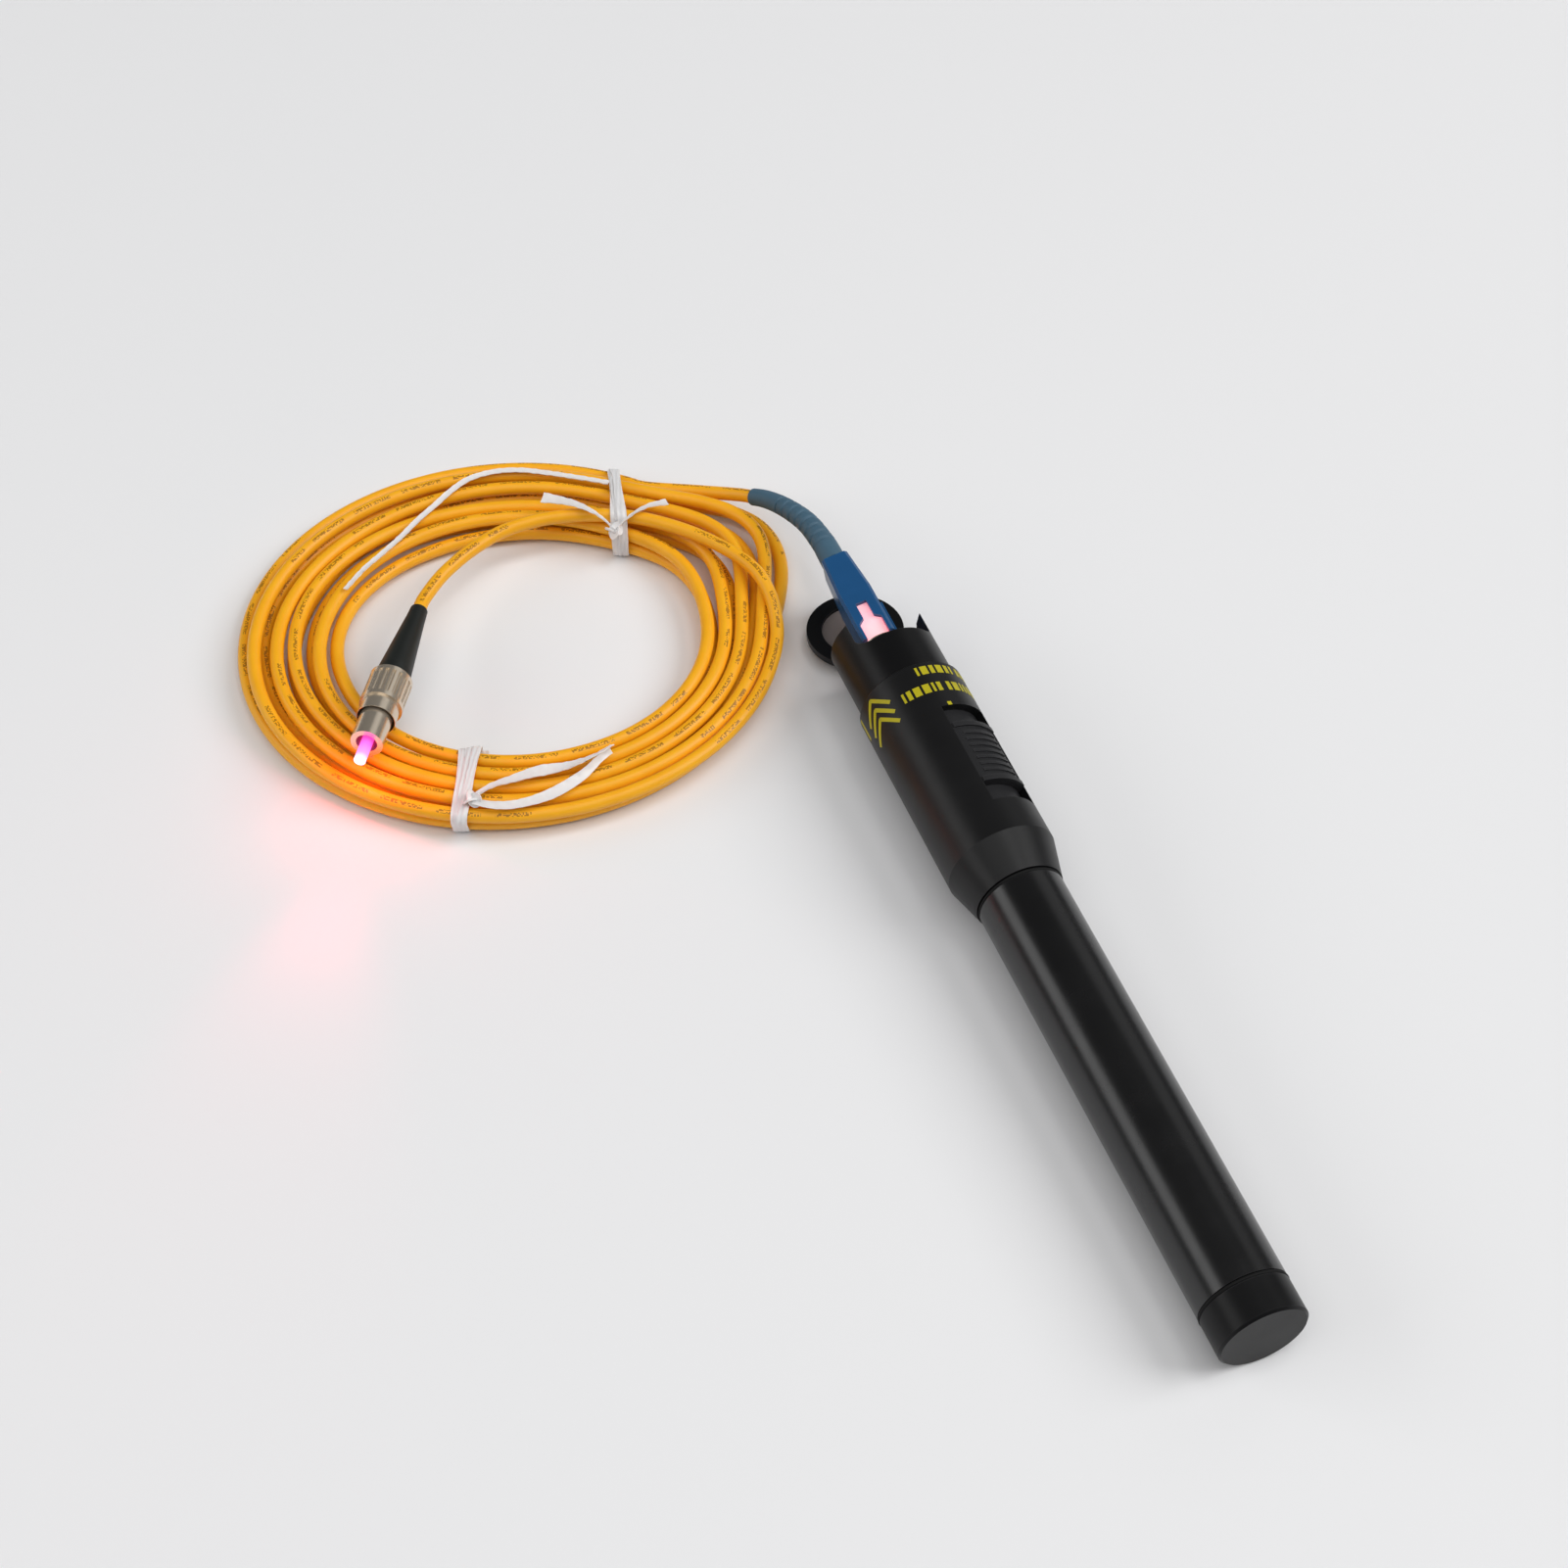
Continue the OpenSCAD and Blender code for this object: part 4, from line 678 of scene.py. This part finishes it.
def boot_radii(walked, length):
    """The boot's radius: a narrow throat in the sleeve, a step, a straight taper, and rounded grooves."""
    share = np.clip((walked - BOOT_STEP) / (length - BOOT_STEP), 0, 1)
    across = np.abs((walked / SLOT_PITCH) % 1 - 0.5) * SLOT_PITCH
    slotted = (share > SLOTS_FROM) & (share < SLOTS_TO)
    groove = np.where(slotted, SLOT_DEPTH * np.clip(SLOT_HALF - across / SLOT_SLOPE, 0, 1), 0)
    radius = BOOT_BASE_R + (BOOT_TIP_R - BOOT_BASE_R) * share - groove
    radius = np.where(walked < BOOT_STEP - BOOT_EDGE, BOOT_THROAT_R, radius)
    rim = np.clip((length - walked) / TIP_ROUND, 0, 1)
    return radius - TIP_INSET * (1 - np.sqrt(1 - (1 - rim) ** 2))


boot_stations = [GRIP_END - BOOT_TUCKED, GRIP_END, BOOT_STRAIGHT - BOOT_ENDS_STRAIGHT, BOOT_STRAIGHT]
boot_path = through(np.concatenate([pen_point(boot_stations, 4 * [0], 4 * [0]), boot_route]), BOOT_PATH_STEP)
boot_walked = distance(boot_path)
boot = piece("bend_boot", [tube(boot_path, boot_radii(boot_walked, boot_walked[-1]), BOOT_SIDES)],
             MATERIALS["blue_rubber"], "patch_cord", sharp=60)
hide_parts("sc_boot")


# Ties: film wound round the turns, with a knot and its tails. Lengths without MM are millimetres. The
# winding's values are how far each turn lifts over the last, on top and little of that underneath, the fan's
# share at the outer side, the sines that make it uneven, and its folds as (size, waves across, waves a metre
# along, how often the phase counts)
TIE_THICK = 0.22 * MM
TIE_WAYS = 120
TIE_STEP = 0.6
TIE_POINTS = 11
TURN_LIFT = 0.26
LIFT_FROM = 0.3
LIFT_UNDER = 0.12
FAN_OUTER = 0.35
UNEVEN = 0.14
SLIP_WAVES = 0.9
WIDTH_WAVES = 260
FOLDS = [(0.07, 6.5, 420, 1), (0.04, 13, -1100, 0)]
OFF_FLOOR = 0.05 * MM
KNOT_POINTS = 90
KNOT_WIDTH = 1.3 * MM
KNOT_THICK = 0.3 * MM
KNOT_CURL = 0.12 * MM
TAIL_STEP = 0.5 * MM
TAIL_CURL = 0.16 * MM
TAIL_CRINKLE = 0.05 * MM


def taut_outline(at, side, fan, lean):
    """The line of a film pulled tight round the strands on one side of the coil, as (0, v, z) in millimetres.

    The strands are cut by three planes, u = at + (-fan, 0, fan) + lean v. For every direction n the line
    takes the cut that lies farthest along n, at centre + (radius + film) n, and walks round at even steps.
    """
    local = (cord_path - COIL_AT) @ level_turn(-COIL_TURN) / MM
    centres = []
    for offset in (-fan, 0, fan):
        left = local[:, 0] - lean * local[:, 1] - at - offset
        cuts = np.flatnonzero((left[:-1] * left[1:] <= 0) & (local[:-1, 1] * side > 0))
        share = (left[cuts] / (left[cuts] - left[cuts + 1]))[:, None]
        centres.append((local[cuts] * (1 - share) + local[cuts + 1] * share)[:, 1:])
    centres = np.concatenate(centres)
    turn = np.linspace(0, 2 * np.pi, TIE_WAYS, endpoint=False)
    ways = np.stack([np.cos(turn), np.sin(turn)], -1)
    ring = centres[np.argmax(ways @ centres.T, axis=1)] + (CORD_D / 2 + TIE_THICK) / MM * ways
    ring = np.concatenate([ring, ring[:1]])
    y, z = at_even_steps(ring, int(distance(ring)[-1] / TIE_STEP) - 1)[:-1].T
    return np.stack([0 * y, y, z], -1)


def winding(side, at, fan, lean, width, turns, phase):
    """A flat film wound round the strands on one side of the coil, at u = at - fan to at + fan, plus lean v.

    The fan is full at the outline's inner side and a third as wide at its outer one. Each turn lies over
    the last.
    """
    outline = taut_outline(at, side, fan + width / 2, lean)
    once = len(outline)
    which = np.arange(int(once * turns))
    turned = which / once
    loop = outline[which % once]
    middle = outline.mean(0)
    out = np.abs(outline[:, 1])
    inner = (np.abs(loop[:, 1]) - out.max()) / (out.min() - out.max())
    upper = np.clip(loop[:, 2] / middle[2] - LIFT_FROM, LIFT_UNDER, 1)
    path = loop + unit(loop - middle) * (TURN_LIFT * upper * turned)[:, None]
    slip = 2 * turned / turns - 1 + UNEVEN * np.sin(2 * np.pi * turned * SLIP_WAVES + phase)
    path[:, 0] = at + fan * slip * (FAN_OUTER + (1 - FAN_OUTER) * inner) + lean * loop[:, 1]
    path = on_coil(path)
    ahead = unit(np.gradient(path, axis=0))
    across = unit(on_coil([(1, lean, 0)]) - on_coil([(0, 0, 0)]))
    x = np.linspace(-1, 1, TIE_POINTS)[None, :]
    walked = distance(path)[:, None]
    fold = sum(size * MM * np.sin(x * over + walked * along + count * phase)
               for size, over, along, count in FOLDS)
    wide = width * MM * (1 + UNEVEN * np.sin(walked * WIDTH_WAVES + 2 * phase))
    row = path[:, None] + (wide * x / 2)[..., None] * across
    rings = film(row, np.cross(ahead, across), fold, TIE_THICK)
    rings[..., 2] = np.maximum(rings[..., 2], OFF_FLOOR)
    return rings


def knot(at, size, phase):
    """A small overhand knot of film, turned by phase and scaled by a third of size.

    x = sin t + 2 sin 2t, y = cos t - 2 cos 2t, z = -1.3 sin 3t.
    """
    t = np.linspace(0, 2 * np.pi, KNOT_POINTS)
    x, y, z = np.sin(t) + 2 * np.sin(2 * t), np.cos(t) - 2 * np.cos(2 * t), -1.3 * np.sin(3 * t)
    path = on_coil(np.array(at) + np.stack([x, y, z], -1) / 3 @ level_turn(phase) * size)
    return strip(path, KNOT_WIDTH, KNOT_THICK, twist=np.sin(3 * t), curl=KNOT_CURL)


def tail(points, widths, twist, phase):
    """One tail of a tie: film through the points, whose width and twist run between the given values."""
    path = through(on_coil(points), TAIL_STEP)
    share = np.linspace(0, 1, len(path))
    grid = np.linspace(0, 1, len(widths))
    return strip(path, np.interp(share, grid, widths) * MM, TIE_THICK, twist=np.interp(share, grid, twist),
                 curl=TAIL_CURL, crinkle=TAIL_CRINKLE, phase=phase)


upper_tie = piece("upper_tie", [
    winding(side=1, at=26.1, fan=1.1, lean=-0.1, width=2.0, turns=3.0, phase=0.4),
    knot((22.4, 25.6, 9.6), size=1.5, phase=0.3),
    tail([
        (22.4, 25.8, 9.6), (20.3, 27.3, 10.9), (17.5, 29.2, 11.7), (13.5, 31.4, 11.9), (9.5, 32.8, 11.7),
        (6.3, 33.6, 11.6),
    ], (1.0, 1.2, 1.7, 2.1, 2.6, 2.9), (0.9, 0.7, 0.4, 0.2, 0.1, -0.1), 0.7),
    tail([
        (22.7, 25.8, 9.6), (24.6, 27.2, 10.9), (27.2, 29.1, 11.8), (30, 30.9, 11.9), (33.8, 32.4, 11.5),
    ], (1.0, 1.1, 1.4, 1.8, 2.1), (-0.9, -0.7, -0.5, -0.3, -0.1), 2.1),
    tail([
        (20.4, 41.8, 8.1), (13.5, 43.5, 8.0), (6.2, 45.1, 7.9), (0.4, 45.9, 7.9), (-5.3, 45.4, 7.9),
        (-10.8, 43.1, 7.9), (-14.4, 39.5, 7.9), (-17.8, 34.8, 7.9), (-21.2, 30.2, 7.9), (-24.5, 25.0, 7.9),
        (-28.3, 19.8, 7.9), (-31.6, 15.4, 7.9), (-35.1, 9.4, 7.8),
    ], (1.5, 1.3, 1.2), (0.2, -0.2, 0.3), 1.3),
], MATERIALS["tie_white"], "patch_cord", sharp=70)
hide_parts("tie_top")
lower_tie = piece("lower_tie", [
    winding(side=-1, at=-2.0, fan=2.3, lean=0.08, width=1.9, turns=3.0, phase=1.1),
    knot((-3.6, -49.8, 8.9), size=1.5, phase=1.2),
    tail([
        (-3.6, -50.3, 8.8), (0.5, -51.4, 8.9), (5, -51.4, 9.0), (12, -48.8, 9.0), (18.5, -43.5, 9.0),
        (22, -38.7, 8.9), (24, -36.6, 8.8),
    ], (1.2, 1.7, 2.0, 2.4, 2.2, 1.8, 1.5), (0.5, 0.3, 0.1, 0.2, 0.5, 0.9, 1.0), 0.4),
    tail([
        (-3.6, -49.4, 8.8), (0, -46.6, 9.0), (4, -44.9, 9.1), (9, -43, 9.3), (15.5, -41.4, 9.4),
        (21.4, -38.2, 9.3), (24.4, -35.6, 9.1),
    ], (1.2, 1.7, 2.1, 2.6, 2.4, 1.9, 1.5), (-0.4, -0.3, 0.0, 0.2, -0.3, -0.7, -0.8), 1.9),
], MATERIALS["tie_white"], "patch_cord", sharp=70)
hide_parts("tie_bottom")


# Prints on the head: rows of plain bars, and nested chevrons. Lengths without MM are millimetres, turns are
# degrees, and the wide gap after each group of bars is so many gaps
PRINT_PROUD = 0.03 * MM
STROKE_STEP = 0.25 * MM
BAR_WIDTHS = (0.55, 1.5, 0.95)
BAR_GAP = 0.55
WIDE_GAP = 2.4
BARS_IN_GROUP = 6
CHEVRON_RISE = 4.0
CHEVRON_HALF = 20.0
CHEVRON_STEP = 2.6
CHEVRON_WIDTH = 0.85


def stroke(points, width):
    """A printed line through points of (turn, station), wrapped round the barrel."""
    points = np.array(points, float)
    flat = np.stack([np.radians(points[:, 0]) * HEAD_R, points[:, 1] * MM], -1)
    line = at_even_steps(flat, max(int(distance(flat)[-1] / STROKE_STEP), 2))
    ahead = unit(np.gradient(line, axis=0))
    side = np.stack([-ahead[:, 1], ahead[:, 0]], -1) * width * MM / 2
    corners = [(line + side, -PRINT_PROUD), (line + side, PRINT_PROUD), (line - side, PRINT_PROUD),
               (line - side, -PRINT_PROUD)]
    return np.stack([pen_point(at[:, 1], HEAD_R + lift, at[:, 0] / HEAD_R) for at, lift in corners], 1)


def bar_row(station, height, first, last, seed):
    """A row of upright bars of three widths with gaps between them, from the first turn to the last."""
    made, turn, k = [], first, 0
    while turn < last:
        width = BAR_WIDTHS[(k * seed + k // 3) % 3]
        half = np.degrees(width * MM / HEAD_R) / 2
        ends = [(turn + half, station - height / 2), (turn + half, station + height / 2)]
        made.append(stroke(ends, width))
        gap = np.degrees(BAR_GAP * MM / HEAD_R)
        turn += 2 * half + gap * (WIDE_GAP if (k + 1) % BARS_IN_GROUP == 0 else 1)
        k += 1
    return made


def chevrons(turn, station, count):
    """Chevrons one behind the other that point towards the port."""
    left, right = turn - CHEVRON_HALF, turn + CHEVRON_HALF
    feet = [station + CHEVRON_STEP * k for k in range(count)]
    bent = [[(left, foot), (turn, foot + CHEVRON_RISE), (right, foot)] for foot in feet]
    return [stroke(points, CHEVRON_WIDTH) for points in bent]


piece("head_prints", [
    *bar_row(station=151.1, height=2.4, first=-27, last=74, seed=5),
    *bar_row(station=155.9, height=2.2, first=-2, last=74, seed=7),
    *chevrons(turn=-60, station=147.4, count=3),
    stroke([(-94, 152), (-94, 157.4)], width=1.0), stroke([(14.8, 145.8), (14.8, 146.7)], width=0.9),
], MATERIALS["print_yellow"], "pen")


# Stage, camera and light
FLOOR_HALF = 3.0
CAMERA_AT = MOUTH + [-0.3903, 0.1775, 0.4830]
CAMERA_TO = MOUTH + [-0.0194, 0.0289, 0.0]
CAMERA_LENS = 69.27
CAMERA_SENSOR = 36
WORLD_LIGHT = 0.1
MIDDLE = (-0.03, 0.0, 0.01)
TIP_GAP = 1.2 * MM
TIP = PLUG_AT + PLUG_ALONG * (FERRULE_TIP + TIP_GAP)


def plane(name, half, height):
    """A flat square for the stage."""
    mesh = bpy.data.meshes.new(name)
    corners = [(-half, -half, height), (half, -half, height), (half, half, height), (-half, half, height)]
    mesh.from_pydata(corners, [], [(0, 1, 2, 3)])
    made = bpy.data.objects.new(name, mesh)
    bpy.context.scene.collection.objects.link(made)
    return made


def aim(made, at, towards):
    """Puts a lamp or camera at a place, turned towards a point."""
    bpy.context.scene.collection.objects.link(made)
    made.location = at
    made.rotation_mode = "QUATERNION"
    made.rotation_quaternion = (Vector(towards) - Vector(at)).to_track_quat("-Z", "Y")
    return made


def lamp(name, kind, at, towards, power, colour=(1, 1, 1), **sizes):
    """A lamp at a place, turned towards a point."""
    data = bpy.data.lights.new(name, kind)
    data.energy = power
    data.color = colour
    for key, value in sizes.items():
        setattr(data, key, value)
    return aim(bpy.data.objects.new(name, data), at, towards)


def panel(name, at, towards, power, wide, high):
    """A soft lamp: a panel that gives an even light."""
    return lamp(name, "AREA", at, towards, power, shape="RECTANGLE", size=wide, size_y=high)


floor = plane("floor", FLOOR_HALF, 0.0)
paper = bpy.data.materials.new("floor_paper")
paper.use_nodes = True
paper.node_tree.nodes["Principled BSDF"].inputs["Base Color"].default_value = linear((236, 236, 237))
paper.node_tree.nodes["Principled BSDF"].inputs["Roughness"].default_value = 0.9
paper.node_tree.nodes["Principled BSDF"].inputs["Specular IOR Level"].default_value = 0.1
floor.data.materials.append(paper)

camera = aim(bpy.data.objects.new("camera", bpy.data.cameras.new("camera")), CAMERA_AT, CAMERA_TO)
camera.data.lens = CAMERA_LENS
camera.data.sensor_width = CAMERA_SENSOR
bpy.context.scene.camera = camera

world = bpy.data.worlds.new("studio")
world.use_nodes = True
world.node_tree.nodes["Background"].inputs["Color"].default_value = (1, 1, 1, 1)
world.node_tree.nodes["Background"].inputs["Strength"].default_value = WORLD_LIGHT
bpy.context.scene.world = world

# A key lamp and one overhead light the floor, and three boxes ahead draw the bright lines on the tube
panel("key", (-0.8, -2.3, 2.2), MIDDLE, 65.0, 1.9, 1.9)
panel("ceiling", (-1.0, 0.8, 2.6), (-1.0, 0.8, 0.0), 36.0, 2.8, 3.0)
panel("left_box", (0.75, 2.0, 1.05), MIDDLE, 14.0, 2.2, 0.95)
panel("top_box", (0.0, -0.62, 2.1), MIDDLE, 4.5, 0.5, 0.5)
panel("right_box", (1.28, -1.7, 1.3), MIDDLE, 2.0, 1.2, 1.2)

# The light that leaves the ferrule: a small glow and a wide beam down onto the floor
spark = lamp("spark", "POINT", TIP, TIP + PLUG_ALONG, power=0.009, colour=(1.0, 0.045, 0.06),
             shadow_soft_size=1.6 * MM)
beam = lamp("beam", "SPOT", TIP, TIP + PLUG_ALONG * 0.1 - [0, 0, 0.025], power=0.05, colour=(1.0, 0.06, 0.12),
            shadow_soft_size=4 * MM, spot_size=np.radians(52), spot_blend=1.0)
for light in (spark, beam):
    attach(light, "patch_cord")

bpy.context.scene.view_settings.view_transform = "Standard"
